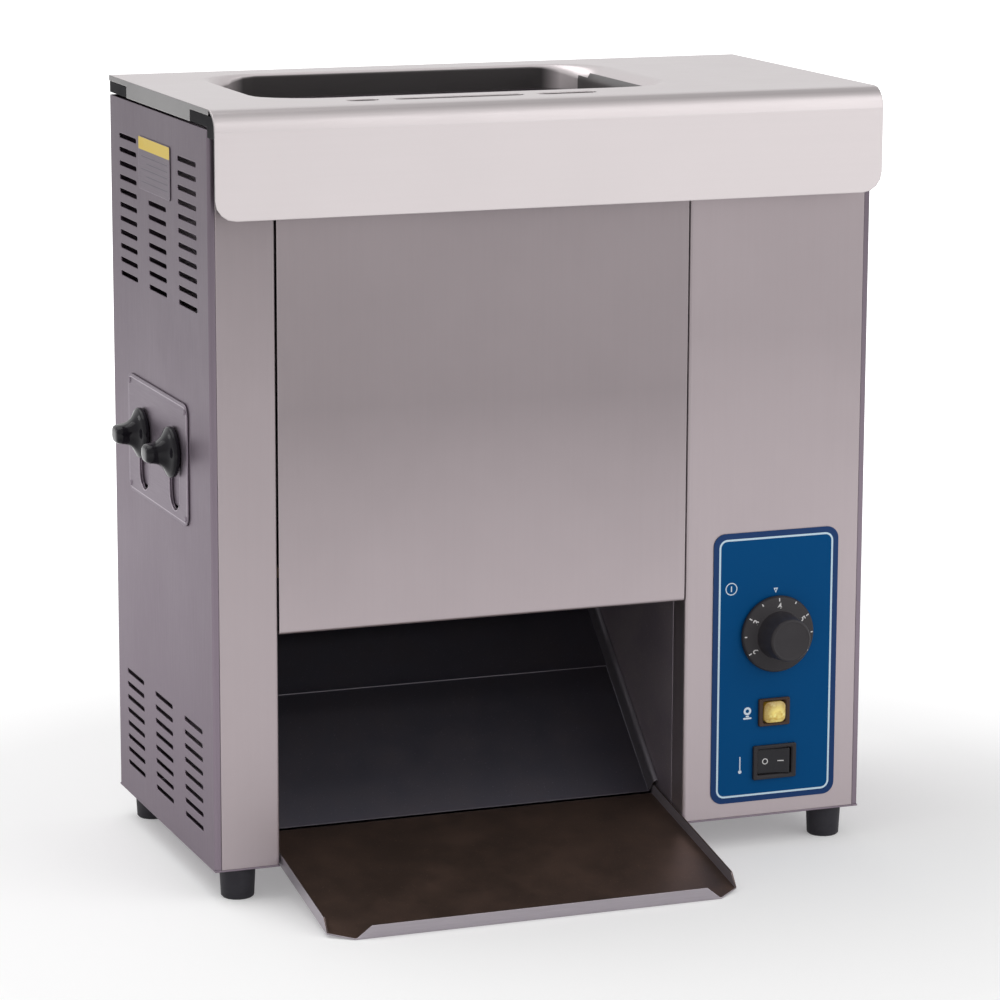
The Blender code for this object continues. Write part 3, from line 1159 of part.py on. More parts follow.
def sprocket(centre, teeth, bore):
    """Return a toothed wheel, bored for its shaft unless the bore is zero."""
    tip = pitch_radius(teeth) - CHAIN_THICKNESS / 2 - GAP
    outline = []
    for tooth in range(teeth):
        for share in TOOTH_SHARES:
            angle = math.tau * (tooth + share) / teeth
            radius = tip if share < 0.5 else tip - TOOTH_DEPTH
            outline.append((centre[0] + radius * math.cos(angle), centre[1] + radius * math.sin(angle)))
    holes = [circle(centre, bore, 12)] if bore else []
    return plate(outline, "X", SPROCKET_INNER, SPROCKET_OUTER, holes)


def build_drive(steel, painted):
    """Make the gearmotor, its bracket, the four sprockets and the chain."""
    y, z = MOTOR_SHAFT
    for name, belt_y, _ in CONVEYORS:
        wheel = sprocket((belt_y, DRIVE_Z), SHAFT_TEETH, SHAFT_RADIUS + GAP)
        add_object(f"{name}_sprocket", wheel, steel, f"{name}_drive_spin")
    wheel = sprocket(IDLER_SPROCKET, SMALL_TEETH, IDLER_STUD + RUNNING_GAP)
    add_object("idler_sprocket", wheel, steel, "idler_sprocket_spin")
    motor_wheel = add_object("motor_sprocket", sprocket(MOTOR_SHAFT, SMALL_TEETH, 0), steel, "motor_spin")
    gearbox_face = BRACKET_X + BRACKET_SHEET + GAP
    shaft = add_rod(bmesh.new(), MOTOR_SHAFT_RADIUS, (0, y, z), "X", SPROCKET_INNER + GAP,
                    gearbox_face + SHAFT_SEAT)
    combine(motor_wheel, shaft, "UNION", "motor_spin")

    outline = rectangle((y - BRACKET_SIZE[0] / 2, z - BRACKET_SIZE[1] / 2),
                        (y + BRACKET_SIZE[0] / 2, z + BRACKET_SIZE[1] / 2))
    hole = circle((y, z), MOTOR_SHAFT_RADIUS + 2 * RUNNING_GAP)
    bracket = add_object("motor_bracket", plate(outline, "X", BRACKET_X, BRACKET_X + BRACKET_SHEET, [hole]),
                         steel)
    bm = bmesh.new()
    for across in (-1, 1):
        for up in (-1, 1):
            spot = (0, y + across * POST_SPREAD[0], z + up * POST_SPREAD[1])
            add_rod(bm, POST_RADIUS, spot, "X", CHAMBER_RIGHT + SKIN, BRACKET_X + BRACKET_SHEET / 2, 8)
    combine(bracket, bm, "UNION")

    half_y, half_z = GEARBOX_SIZE[1] / 2, GEARBOX_SIZE[2] / 2
    housing = box((gearbox_face, y - half_y, z - half_z),
                  (gearbox_face + GEARBOX_SIZE[0], y + half_y, z + half_z))
    motor = add_object("gearmotor", housing, painted)
    can = add_rod(bmesh.new(), MOTOR_RADIUS - GAP, (0, y, z), "X", gearbox_face + GEARBOX_SIZE[0] / 2,
                  gearbox_face + GEARBOX_SIZE[0] + MOTOR_CAN, 20)
    combine(motor, can, "UNION")
    seat = add_rod(bmesh.new(), MOTOR_SHAFT_RADIUS + RUNNING_GAP, (0, y, z), "X", gearbox_face - OVERRUN,
                   gearbox_face + SHAFT_SEAT + GAP)
    combine(motor, seat, "DIFFERENCE")

    wheels = [((REAR_BELT_Y, DRIVE_Z), pitch_radius(SHAFT_TEETH), 1),
              (MOTOR_SHAFT, pitch_radius(SMALL_TEETH), -1),
              ((FRONT_BELT_Y, DRIVE_Z), pitch_radius(SHAFT_TEETH), -1),
              (IDLER_SPROCKET, pitch_radius(SMALL_TEETH), -1)]
    path = belt_path(wheels, 12)
    outer = [tuple(spot + normal * CHAIN_THICKNESS / 2) for spot, normal in path]
    inner = [tuple(spot - normal * CHAIN_THICKNESS / 2) for spot, normal in path]
    chain = plate(outer, "X", SPROCKET_INNER - CHAIN_SIDE, SPROCKET_OUTER + CHAIN_SIDE, [inner])
    add_object("drive_chain", chain, steel)


# Fan, wiring and inlet

FAN_HUB = 13.5 * MM
FAN_BLADE_RADIUS = 26.2 * MM
FAN_BLADES = 5
FAN_BLADE_CHORD = 15 * MM
FAN_BLADE_SHEET = 1.6 * MM
FAN_BLADE_ANGLE = math.radians(38)
STRUT_WIDTH = 4 * MM
STRUT_DEPTH = 3 * MM
FAN_RUN = 0.4 * MM


def build_fan(plastic):
    """Make the cooling fan's frame and its rotor."""
    rear = REAR_INNER - GAP
    front = rear - FAN_DEPTH
    half = FAN_SIZE / 2
    outline = rounded_rectangle((FAN_X - half, FAN_Z - half), (FAN_X + half, FAN_Z + half), BEND)
    frame = plate(outline, "Y", front, rear, [circle((FAN_X, FAN_Z), FAN_BORE, 24)])
    frame = add_object("fan_housing", frame, plastic)
    spider = add_rod(bmesh.new(), FAN_HUB, (FAN_X, 0, FAN_Z), "Y", front, front + STRUT_DEPTH)
    combine(frame, spider, "UNION")
    for arm in range(3):
        bm = box((-STRUT_WIDTH / 2, front, 0),
                 (STRUT_WIDTH / 2, front + STRUT_DEPTH, FAN_BORE + STRUT_WIDTH / 2))
        turn = Matrix.Translation((FAN_X, 0, FAN_Z)) @ Matrix.Rotation(math.tau * arm / 3, 4, "Y")
        bmesh.ops.transform(bm, matrix=turn, verts=bm.verts)
        combine(frame, bm, "UNION")
    low, high = front + STRUT_DEPTH + FAN_RUN, rear - STRUT_DEPTH
    hub = add_rod(bmesh.new(), FAN_HUB, (FAN_X, 0, FAN_Z), "Y", low, high)
    rotor = add_object("fan_rotor", hub, plastic, "fan_spin")
    for blade in range(FAN_BLADES):
        bm = box((-FAN_BLADE_SHEET / 2, -FAN_BLADE_CHORD / 2, FAN_HUB - OVERRUN),
                 (FAN_BLADE_SHEET / 2, FAN_BLADE_CHORD / 2, FAN_BLADE_RADIUS))
        spin = Matrix.Rotation(math.tau * blade / FAN_BLADES, 4, "Y")
        turn = Matrix.Translation((FAN_X, (low + high) / 2, FAN_Z)) @ spin
        bmesh.ops.transform(bm, matrix=turn @ Matrix.Rotation(FAN_BLADE_ANGLE, 4, "Z"), verts=bm.verts)
        combine(rotor, bm, "UNION", "fan_spin")


INLET_FLANGE = (40 * MM, 30 * MM)
INLET_LIP = 3 * MM
INLET_DEPTH = 24 * MM
SOCKET_SIZE = (24 * MM, 17 * MM)
SOCKET_DEPTH = 16 * MM
PIN_SIZE = (7 * MM, 2 * MM)
PIN_PLACES = ((-6.5 * MM, -4.2 * MM), (6.5 * MM, -4.2 * MM), (0, 4.2 * MM))
PIN_SETBACK = 1.5 * MM


def centred(centre, size):
    """Return a rectangle of a size about a centre."""
    low = (centre[0] - size[0] / 2, centre[1] - size[1] / 2)
    high = (centre[0] + size[0] / 2, centre[1] + size[1] / 2)
    return rectangle(low, high)


def build_power_inlet(plastic):
    """Make the rear inlet socket with its three flat pins."""
    centre = (INLET_X, INLET_Z)
    seat = REAR_FACE + GAP
    rear = seat + INLET_LIP
    inlet = add_object("power_inlet", plate(centred(centre, INLET_FLANGE), "Y", seat, rear), plastic)
    body = plate(centred(centre, INLET_BODY), "Y", rear - INLET_DEPTH, seat + INLET_LIP / 2)
    combine(inlet, body, "UNION")
    combine(inlet, plate(centred(centre, SOCKET_SIZE), "Y", rear - SOCKET_DEPTH, rear + OVERRUN),
            "DIFFERENCE")
    bm = bmesh.new()
    for dx, dz in PIN_PLACES:
        spot = (INLET_X + dx, INLET_Z + dz)
        add_plate(bm, centred(spot, PIN_SIZE), "Y", rear - SOCKET_DEPTH - OVERRUN, rear - PIN_SETBACK)
    combine(inlet, bm, "UNION")


# Controls on the fascia

OVERLAY_FROM_WALL = 23.8 * MM
OVERLAY_Z = 38.2 * MM
OVERLAY_SIZE = (108.5 * MM, 221.3 * MM)
OVERLAY_LOW = (CHAMBER_RIGHT + OVERLAY_FROM_WALL, OVERLAY_Z)
OVERLAY_HIGH = (OVERLAY_LOW[0] + OVERLAY_SIZE[0], OVERLAY_Z + OVERLAY_SIZE[1])
OVERLAY_CORNER = 10 * MM
OVERLAY_FACE = GAP + LABEL
CONTROL_BACK = OVERLAY_FACE + GAP
CONTROLLER_SIZE = (43 * MM, 35 * MM)
SPIGOT_RADIUS = 3 * MM
SPIGOT_DEPTH = 12 * MM
DIAL_BACK = CONTROL_BACK + 2 * GAP
DIAL_REACH = 30 * MM
DIAL_SKIRT = (31.2 * MM, 6 * MM)
DIAL_HUB = (19 * MM, 17 * MM)
BEZEL_HEIGHT = 2.5 * MM
LAMP_BODY_DEPTH = 24 * MM
LENS_SIZE = (18.5 * MM, 17 * MM)
LENS_PROUD = 2.2 * MM
LENS_DEPTH = 9 * MM
LAMP_TRAVEL = 2 * MM
ROCKER_SIZE = (27.6 * MM, 20.8 * MM)
ROCKER_POCKET = (29.4 * MM, 21.4 * MM)
ROCKER_TILT = math.radians(8)
ROCKER_PIVOT_Y = 3 * MM
ROCKER_DEPTH = 6 * MM
ROCKER_DISH = 1.6 * MM
ROCKER_BODY_DEPTH = 26 * MM
POCKET_DEPTH = 13 * MM


def middle_of(low, high):
    """Return the middle of a rectangle."""
    return ((low[0] + high[0]) / 2, (low[1] + high[1]) / 2)


def build_control_overlay(plastic):
    """Make the thin panel behind the controls."""
    outline = rounded_rectangle(OVERLAY_LOW, OVERLAY_HIGH, OVERLAY_CORNER, 5)
    bm = plate(outline, "Y", -OVERLAY_FACE, -GAP, control_holes(GAP))
    add_object("control_overlay", bm, plastic)


def build_dial(body_plastic, knob_plastic):
    """Make the dial's controller behind the fascia, and the dial on its spigot."""
    half = CONTROLLER_SIZE[0] / 2
    controller = box((DIAL_X - half, SKIN, DIAL_Z - half),
                     (DIAL_X + half, SKIN + CONTROLLER_SIZE[1], DIAL_Z + half))
    controller = add_object("dial_controller", controller, body_plastic)
    place = (DIAL_X, 0, DIAL_Z)
    bush = add_rod(bmesh.new(), DIAL_BUSH, place, "Y", -CONTROL_BACK, SKIN + OVERRUN)
    combine(controller, bush, "UNION")
    bore = add_rod(bmesh.new(), SPIGOT_RADIUS + GAP, place, "Y", -CONTROL_BACK - OVERRUN, SPIGOT_DEPTH + GAP,
                   12)
    combine(controller, bore, "DIFFERENCE")
    skirt, rise = DIAL_SKIRT
    base, top = DIAL_HUB
    profile = [(0, SPIGOT_DEPTH), (SPIGOT_RADIUS, SPIGOT_DEPTH), (SPIGOT_RADIUS, -DIAL_BACK),
               (skirt, -DIAL_BACK),
               (skirt, -rise / 2), (skirt - BEND / 2, -rise), (base, -rise - BEND / 2),
               (top + BEND / 4, BEND - DIAL_REACH),
               (top - BEND / 2, -DIAL_REACH), (0, -DIAL_REACH)]
    dial = add_turned(bmesh.new(), profile, place, "Y", 28)
    add_object("dial_knob", dial, knob_plastic, "dial_turn", smooth=True)


def housing(name, low, high, pocket, depth, plastic):
    """Make a bezel with a body behind it and a pocket for what moves in it."""
    centre = middle_of(low, high)
    front = -CONTROL_BACK - BEZEL_HEIGHT
    made = add_object(name, plate(rectangle(low, high), "Y", front, -CONTROL_BACK), plastic)
    body = plate(shrunk(low, high, BEZEL_LAP), "Y", -CONTROL_BACK - BEZEL_HEIGHT / 2, depth)
    combine(made, body, "UNION")
    combine(made, plate(centred(centre, pocket), "Y", front - OVERRUN, POCKET_DEPTH), "DIFFERENCE")


def build_lamp_button(plastic, lens):
    """Make the lit push button and its housing."""
    pocket = [side + 2 * GAP for side in LENS_SIZE]
    housing("lamp_housing", LAMP_LOW, LAMP_HIGH, pocket, LAMP_BODY_DEPTH, plastic)
    front = -CONTROL_BACK - BEZEL_HEIGHT - LENS_PROUD
    centre = middle_of(LAMP_LOW, LAMP_HIGH)
    top = [side - 2 * BEND for side in LENS_SIZE]
    bm = bmesh.new()
    loops = [place_points(bm, centred(centre, LENS_SIZE), "Y", front + LENS_DEPTH),
             place_points(bm, centred(centre, LENS_SIZE), "Y", front + BEND / 2),
             place_points(bm, centred(centre, top), "Y", front)]
    bm.faces.new(loops[0])
    bm.faces.new(loops[2])
    for lower, upper in zip(loops, loops[1:]):
        for index in range(4):
            after = (index + 1) % 4
            bm.faces.new((lower[index], lower[after], upper[after], upper[index]))
    add_object("lamp_button", bm, lens, "lamp_press")


def build_rocker(plastic):
    """Make the rocker, resting on one side, and its housing."""
    housing("rocker_housing", ROCKER_LOW, ROCKER_HIGH, ROCKER_POCKET, ROCKER_BODY_DEPTH, plastic)
    x, z = middle_of(ROCKER_LOW, ROCKER_HIGH)
    half, front = ROCKER_SIZE[0] / 2, -CONTROL_BACK - BEZEL_HEIGHT / 2 - ROCKER_PIVOT_Y
    outline = [(-half, front), (0, front + ROCKER_DISH), (half, front), (half, 0), (half / 2, ROCKER_DEPTH),
               (-half / 2, ROCKER_DEPTH), (-half, 0)]
    bm = plate(outline, "Z", -ROCKER_SIZE[1] / 2, ROCKER_SIZE[1] / 2)
    place = Matrix.Translation((x, ROCKER_PIVOT_Y, z)) @ Matrix.Rotation(-ROCKER_TILT, 4, "Z")
    bmesh.ops.transform(bm, matrix=place, verts=bm.verts)
    add_object("rocker", bm, plastic, "rocker_tilt")


# Chute and tray

CHUTE_LOW = (60 * MM, 37 * MM)
CHUTE_RUN = 196 * MM
CHUTE_SLOPE = 0.905
CHUTE_LAP_START = 123.5 * MM
CHUTE_BEND = 1.5 * MM
CHUTE_LAP = 0.8 * MM
CHUTE_FLANGE = 15 * MM
CHUTE_HEM = 3 * MM


def build_bun_chute(steel):
    """Make the sloped chute: a lapped floor and two flanges hemmed outwards."""
    length = math.hypot(CHUTE_RUN, CHUTE_RUN * CHUTE_SLOPE)
    left, right = IN_LEFT + CHUTE_HEM, IN_RIGHT - CHUTE_HEM
    hem = CHUTE_FLANGE - SHEET
    path = [(IN_LEFT, hem), (left, hem), (left, -SHEET), (right, -SHEET), (right, hem), (IN_RIGHT, hem)]
    section = bent_strip(path, SHEET, CHUTE_BEND)
    chute = add_object("bun_chute", plate(section, "Y", 0, length), steel, "chute_lean")
    upper = box((left + SHEET / 2, CHUTE_LAP_START, -SHEET / 2), (right - SHEET / 2, length, CHUTE_LAP))
    combine(chute, upper, "UNION", "chute_lean")


TRAY_SIDE = 1.3 * MM
TRAY_FRONT_Z = 0.3 * MM
TRAY_END_Y = 58.5 * MM
TRAY_FLANGE = 9.6 * MM
TRAY_CUT = (18 * MM, 13 * MM)
TRAY_FLANGE_CHAMFER = 10 * MM
TRAY_LIP_CHAMFER = 13 * MM
TRAY_FOOT = 7.4 * MM


def build_bun_tray(steel):
    """Make the folded tray with its cut front corners and the foot at its rear edge."""
    left, right = CHAMBER_LEFT + TRAY_SIDE, CHAMBER_RIGHT - TRAY_SIDE
    run = TRAY_END_Y + TRAY_REACH
    length = math.hypot(run, run * TRAY_SLOPE)
    on = "tray_lean"
    near, far = left + TRAY_CUT[0], right - TRAY_CUT[0]
    floor = [(left, length), (left, TRAY_CUT[1]), (near, 0), (far, 0), (right, TRAY_CUT[1]), (right, length)]
    tray = add_object("bun_tray", plate(floor, "Z", 0, SHEET), steel, on)
    side = [(length, 0), (length, TRAY_FLANGE), (TRAY_CUT[1] + TRAY_FLANGE_CHAMFER, TRAY_FLANGE),
            (TRAY_CUT[1], SHEET), (TRAY_CUT[1], 0)]
    for low in (left, right - SHEET):
        combine(tray, plate(side, "X", low, low + SHEET), "UNION", on)
    lip = [(near, 0), (near + TRAY_LIP_CHAMFER, TRAY_LIP), (far - TRAY_LIP_CHAMFER, TRAY_LIP), (far, 0)]
    combine(tray, plate(lip, "Y", 0, SHEET), "UNION", on)
    foot = box((left, length - SHEET, -TRAY_FOOT), (right, length, SHEET))
    combine(tray, foot, "UNION", on)


def add_carriers():
    """Add the empties that stand on the joint axes."""
    base = bpy.data.objects.new("toaster", None)
    base.location = (-CENTRE_X, -CENTRE_Y, 0)
    bpy.context.scene.collection.objects.link(base)
    CARRIERS["toaster"] = (base, Vector((0, 0, 0)))
    carrier("front_cover_swing", (CHAMBER_MIDDLE, ROD_Y, ROD_Z), "toaster")
    carrier("top_cover_lift", (WIDTH / 2, DEPTH / 2, TOP), "toaster")
    carrier("tray_slide", (CHAMBER_MIDDLE, 0, BASE_TOP), "toaster")
    tray = carrier("tray_lean", (0, -TRAY_REACH, TRAY_FRONT_Z), "tray_slide")
    tray.rotation_euler.x = math.atan(TRAY_SLOPE)
    chute = carrier("chute_lean", (0, *CHUTE_LOW), "toaster")
    chute.rotation_euler.x = math.atan(CHUTE_SLOPE)
    for name in ("tray_lean", "chute_lean"):
        CARRIERS[name] = (CARRIERS[name][0], Vector((0, 0, 0)))
    carrier("dial_turn", (DIAL_X, 0, DIAL_Z), "toaster")
    lamp, rocker = middle_of(LAMP_LOW, LAMP_HIGH), middle_of(ROCKER_LOW, ROCKER_HIGH)
    carrier("lamp_press", (lamp[0], 0, lamp[1]), "toaster")
    carrier("rocker_tilt", (rocker[0], ROCKER_PIVOT_Y, rocker[1]), "toaster")
    for name, y, _ in CONVEYORS:
        knob_y = FRONT_KNOB_Y if name == "front" else REAR_KNOB_Y
        carrier(f"{name}_adjuster_slide", (0, knob_y, KNOB_Z), "toaster")
        carrier(f"{name}_knob_turn", (0, knob_y, KNOB_Z), f"{name}_adjuster_slide")
        carrier(f"{name}_conveyor_tilt", (CHAMBER_MIDDLE, y, DRIVE_Z), "toaster")
        carrier(f"{name}_idler_spin", (CHAMBER_MIDDLE, y, IDLER_Z), f"{name}_conveyor_tilt")
        carrier(f"{name}_drive_spin", (CHAMBER_MIDDLE, y, DRIVE_Z), "toaster")
    carrier("motor_spin", (SPROCKET_INNER, *MOTOR_SHAFT), "toaster")
    carrier("idler_sprocket_spin", (SPROCKET_INNER, *IDLER_SPROCKET), "toaster")
    carrier("fan_spin", (FAN_X, REAR_INNER, FAN_Z), "toaster")


def main():
    """Build the whole toaster."""
    clear_scene()
    add_carriers()
    steel = make_material("brushed_steel", (0.56, 0.54, 0.54), 0.38, 1.0)
    bright = make_material("bright_steel", (0.72, 0.70, 0.71), 0.3, 1.0)
    plain = make_material("plain_steel", (0.45, 0.45, 0.46), 0.45, 1.0)
    aluminium = make_material("cast_aluminium", (0.60, 0.60, 0.62), 0.5, 1.0)
    brass = make_material("bronze", (0.60, 0.45, 0.22), 0.4, 1.0)
    black = make_material("black_plastic", (0.03, 0.03, 0.03), 0.3, 0.0)
    rubber = make_material("black_rubber", (0.025, 0.025, 0.025), 0.8, 0.0)
    blue = make_material("blue_overlay", (0.002, 0.065, 0.2), 0.35, 0.0)
    amber = make_material("amber_lens", (0.8, 0.66, 0.22), 0.2, 0.0)
    coated = make_material("coated_fabric", (0.14, 0.09, 0.05), 0.5, 0.0)
    dark = make_material("dark_steel", (0.05, 0.045, 0.045), 0.5, 0.5)
    grey = make_material("painted_grey", (0.2, 0.2, 0.21), 0.5, 0.0)

    build_base_pan(steel)
    build_feet(rubber)
    build_left_side_panel(steel)
    build_right_side_panel(steel)
    build_rear_panel(steel)
    build_front_left_post(steel)
    build_front_right_fascia(steel)
    build_front_cover(steel)
    build_cover_hang_rod(plain)
    build_top_cover(bright)
    build_corner_trims(black)
    build_left_bulkhead(plain)
    build_right_bulkhead(plain)
    build_chamber_back(plain)
    build_feed_pieces(plain)
    build_platen(aluminium)
    build_cartridge_heaters(plain)
    build_release_sheet(coated)
    for name, y, way in CONVEYORS:
        build_conveyor(name, y, way, plain, rubber, grey)
        build_carriage(name, FRONT_KNOB_Y if way > 0 else REAR_KNOB_Y, y, way, steel)
        build_adjuster_knob(name, FRONT_KNOB_Y if way > 0 else REAR_KNOB_Y, black)
    build_bearing_bars(brass)
    build_carriage_guide(plain)
    build_adjuster_plate(steel)
    build_data_plate(steel)
    build_drive(plain, grey)
    build_fan(black)
    build_power_inlet(black)
    build_control_overlay(blue)
    build_dial(black, black)
    build_lamp_button(black, amber)
    build_rocker(black)
    build_bun_chute(dark)
    build_bun_tray(dark)


if __name__ == "__main__":
    main()
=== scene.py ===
"""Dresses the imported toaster: finishes, printed and moulded details, floor, light and camera."""

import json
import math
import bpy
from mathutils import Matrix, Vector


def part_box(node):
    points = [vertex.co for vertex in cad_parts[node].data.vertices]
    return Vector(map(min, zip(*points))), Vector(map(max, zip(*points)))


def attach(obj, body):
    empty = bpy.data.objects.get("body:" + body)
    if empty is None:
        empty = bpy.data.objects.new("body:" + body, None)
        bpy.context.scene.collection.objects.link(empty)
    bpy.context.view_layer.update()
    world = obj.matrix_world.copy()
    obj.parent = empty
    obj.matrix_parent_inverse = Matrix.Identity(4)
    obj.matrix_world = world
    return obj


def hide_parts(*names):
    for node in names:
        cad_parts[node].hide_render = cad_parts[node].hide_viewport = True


bl_info = {
    "name": "Vertical Contact Toaster Dressing",
    "version": (1, 0, 0),
    "blender": (4, 5, 0),
    "location": "3D View > Sidebar > Toaster",
    "description": "Gives the packed toaster its finishes, its small parts and its studio",
    "category": "Object",
}

import bmesh
import bpy
from bpy.props import FloatProperty, FloatVectorProperty, PointerProperty
from mathutils import Matrix, Vector
from mathutils.geometry import tessellate_polygon

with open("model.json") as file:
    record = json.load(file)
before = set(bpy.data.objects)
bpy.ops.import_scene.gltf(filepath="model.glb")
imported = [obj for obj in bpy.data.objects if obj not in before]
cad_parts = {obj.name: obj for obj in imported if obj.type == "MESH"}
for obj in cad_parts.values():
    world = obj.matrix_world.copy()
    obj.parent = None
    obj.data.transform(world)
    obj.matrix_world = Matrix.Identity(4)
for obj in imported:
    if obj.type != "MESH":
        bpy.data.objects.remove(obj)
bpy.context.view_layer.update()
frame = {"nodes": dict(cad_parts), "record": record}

MM = 0.001
ORIGIN = Vector((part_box("left_side_panel")[0].x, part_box("left_side_panel")[0].y, 0.0))
# How far print stands off its face, in mm
RAISE = 0.04
# Steps round a turned or moulded shape
FINE = 96
# Distances below which two corners of a mesh become one, in metres
SAME = 1e-7
WELD = 2e-6


# Places and outlines, in millimetres from the body's left side, front face and floor

def spot(x, y, z):
    """Return a place in the frame, in metres."""
    return ORIGIN + Vector((x, y, z)) * MM


def side_spot(y, x, z):
    """Return a place in the frame from its depth, then its distance across."""
    return spot(x, y, z)


def measured(node):
    """Return a node's lowest and highest corner in millimetres from the body's corner."""
    low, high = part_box(node)
    return (low - ORIGIN) / MM, (high - ORIGIN) / MM


def middle(low, high):
    """Return the point halfway between two corners."""
    return tuple((first + last) / 2 for first, last in zip(low, high))


def face_of(low, high):
    """Return the front rectangle of a box, as two corners (x, z)."""
    return (low.x, low.z), (high.x, high.z)


def grown(corners, by):
    """Return a rectangle's corners moved outwards."""
    (left, bottom), (right, top) = corners
    return (left - by, bottom - by), (right + by, top + by)


def around(centre, across, up):
    """Return a rectangle's corners from its centre and half sizes."""
    return (centre[0] - across, centre[1] - up), (centre[0] + across, centre[1] + up)


def arc(centre, radius, start, end, steps):
    """Return points on an arc, angles in degrees."""
    turns = [math.radians(start + (end - start) * step / steps) for step in range(steps + 1)]
    return [(centre[0] + radius * math.cos(turn), centre[1] + radius * math.sin(turn)) for turn in turns]


def circle(centre, radius, steps=48):
    """Return a circle's points."""
    return arc(centre, radius, 0, 360, steps)[:-1]


def soft_rectangle(corners, radius, steps=8):
    """Return a rectangle's outline with round corners."""
    (left, bottom), (right, top) = grown(corners, -radius)
    spots = (((right, bottom), -90), ((right, top), 0), ((left, top), 90), ((left, bottom), 180))
    return [point for centre, start in spots for point in arc(centre, radius, start, start + 90, steps)]


def printed_on(face, layers=1):
    """Return the two depths between which print lies on a face."""
    return face - RAISE * layers, face - RAISE / 4


def lay(bm, outline, depth, place=spot):
    """Add an outline's points at a depth and return them."""
    return [bm.verts.new(place(across, depth, up)) for across, up in outline]


def join_rows(bm, rows, closed=False):
    """Join rows of points with faces. A row may be one point; closed joins the last row to the first."""
    for lower, upper in zip(rows, rows[1:] + rows[:1] if closed else rows[1:]):
        count = max(len(lower), len(upper))
        for here in range(count):
            after = (here + 1) % count
            corners = (lower[here % len(lower)], lower[after % len(lower)],
                       upper[after % len(upper)], upper[here % len(upper)])
            bm.faces.new(list(dict.fromkeys(corners)))
    return bm


def cap_rows(bm, rows):
    """Join rows of points with faces and close the first and the last row."""
    bm.faces.new(rows[0])
    bm.faces.new(rows[-1])
    return join_rows(bm, rows)


def plate(bm, outline, near, far, holes=(), place=spot):
    """Add an outline drawn out between two depths, in the front plane or by side_spot in the side's."""
    loops = [outline, *holes]
    flat = [point for loop in loops for point in loop]
    rows = [lay(bm, flat, depth, place) for depth in (near, far)]
    for corners in tessellate_polygon([[Vector((*point, 0)) for point in loop] for loop in loops]):
        for row in rows:
            bm.faces.new([row[corner] for corner in corners])
    start = 0
    for loop in loops:
        join_rows(bm, [row[start:start + len(loop)] for row in rows])
        start += len(loop)
    return bm


def ring(bm, corners, radius, width, near, far, place=spot):
    """Add a flat frame that follows a rectangle with round corners."""
    inner = soft_rectangle(grown(corners, -width), max(radius - width, width / 2))
    return plate(bm, soft_rectangle(corners, radius), near, far, [inner], place)


def turned(bm, profile, centre):
    """Add a turned shape about a line along y, from (radius, depth) points."""
    return join_rows(bm, [lay(bm, circle(centre, radius, FINE) if radius else [centre], depth)
                          for radius, depth in profile])


def rounded(profile, radius, steps=5):
    """Return a profile with its inner corners rounded."""
    points = [profile[0]]
    for before, here, after in zip(profile, profile[1:], profile[2:]):
        a, b, c = Vector(before), Vector(here), Vector(after)
        reach = min(radius, (a - b).length / 2, (c - b).length / 2)
        start, end = b + (a - b).normalized() * reach, b + (c - b).normalized() * reach
        for step in range(steps + 1):
            share = step / steps
            points.append(tuple(start * (1 - share) ** 2 + b * 2 * share * (1 - share) + end * share ** 2))
    return points + [profile[-1]]


def settle(thing, **settings):
    """Give a thing its settings and return it."""
    for key, value in settings.items():
        setattr(thing, key, value)
    return thing


def new_object(name, data):
    """Return a new object that stands in the scene."""
    obj = bpy.data.objects.new(name, data)
    bpy.context.scene.collection.objects.link(obj)
    return obj


def add_piece(name, bm, material, body, instead=(), crease=35.0):
    """Make an object of a mesh, finish it and let it ride on a body."""
    bmesh.ops.remove_doubles(bm, verts=bm.verts, dist=SAME)
    bmesh.ops.recalc_face_normals(bm, faces=bm.faces)
    mesh = bpy.data.meshes.new(name)
    bm.to_mesh(mesh)
    bm.free()
    mesh.shade_smooth()
    mesh.set_sharp_from_angle(angle=math.radians(crease))
    mesh.materials.append(material)
    obj = new_object(name, mesh)
    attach(obj, body)
    if instead:
        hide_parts(*instead)
    return obj


def shape_of(obj):
    """Return a mesh of an object's final shape."""
    bpy.context.view_layer.update()
    return bpy.data.meshes.new_from_object(obj.evaluated_get(bpy.context.evaluated_depsgraph_get()))


def apply_modifier(obj, kind, **settings):
    """Apply one modifier to a piece."""
    step = settle(obj.modifiers.new(kind.lower(), kind), **settings)
    mesh = shape_of(obj)
    obj.modifiers.remove(step)
    old, obj.data = obj.data, mesh
    bpy.data.meshes.remove(old)
    mesh.name = obj.name


def cover_node(name, material):
    """Give a carried-over node its material."""
    mesh = frame["nodes"][name].data
    mesh.materials.clear()
    mesh.materials.append(material)
    mesh.polygons.foreach_set("material_index", [0] * len(mesh.polygons))


# Colours and shader nodes

def screen(red, green, blue):
    """Return a linear colour from its screen values, 0 to 255."""
    return tuple(((part / 255 + 0.055) / 1.055) ** 2.4 if part > 10 else part / 255 / 12.92
                 for part in (red, green, blue))


def shade(colour, share):
    """Return a colour made lighter or darker."""
    return tuple(min(part * share, 1.0) for part in colour)


def fill(tree, node, values):
    """Give a node's inputs their values or links, and return the node."""
    for socket, value in values.items():
        if isinstance(value, bpy.types.NodeSocket):
            tree.links.new(value, node.inputs[socket])
        else:
            node.inputs[socket].default_value = value
    return node


def add_node(tree, kind, values=None, **settings):
    """Add a shader node with its settings and its inputs' values or links."""
    return fill(tree, settle(tree.nodes.new(f"ShaderNode{kind}"), **settings), values or {})


def noise(tree, vector, scale, detail=3.0, rough=0.5):
    """Add a noise texture and return its value."""
    return add_node(tree, "TexNoise", {"Vector": vector, "Scale": scale, "Detail": detail,
                                       "Roughness": rough}).outputs["Fac"]


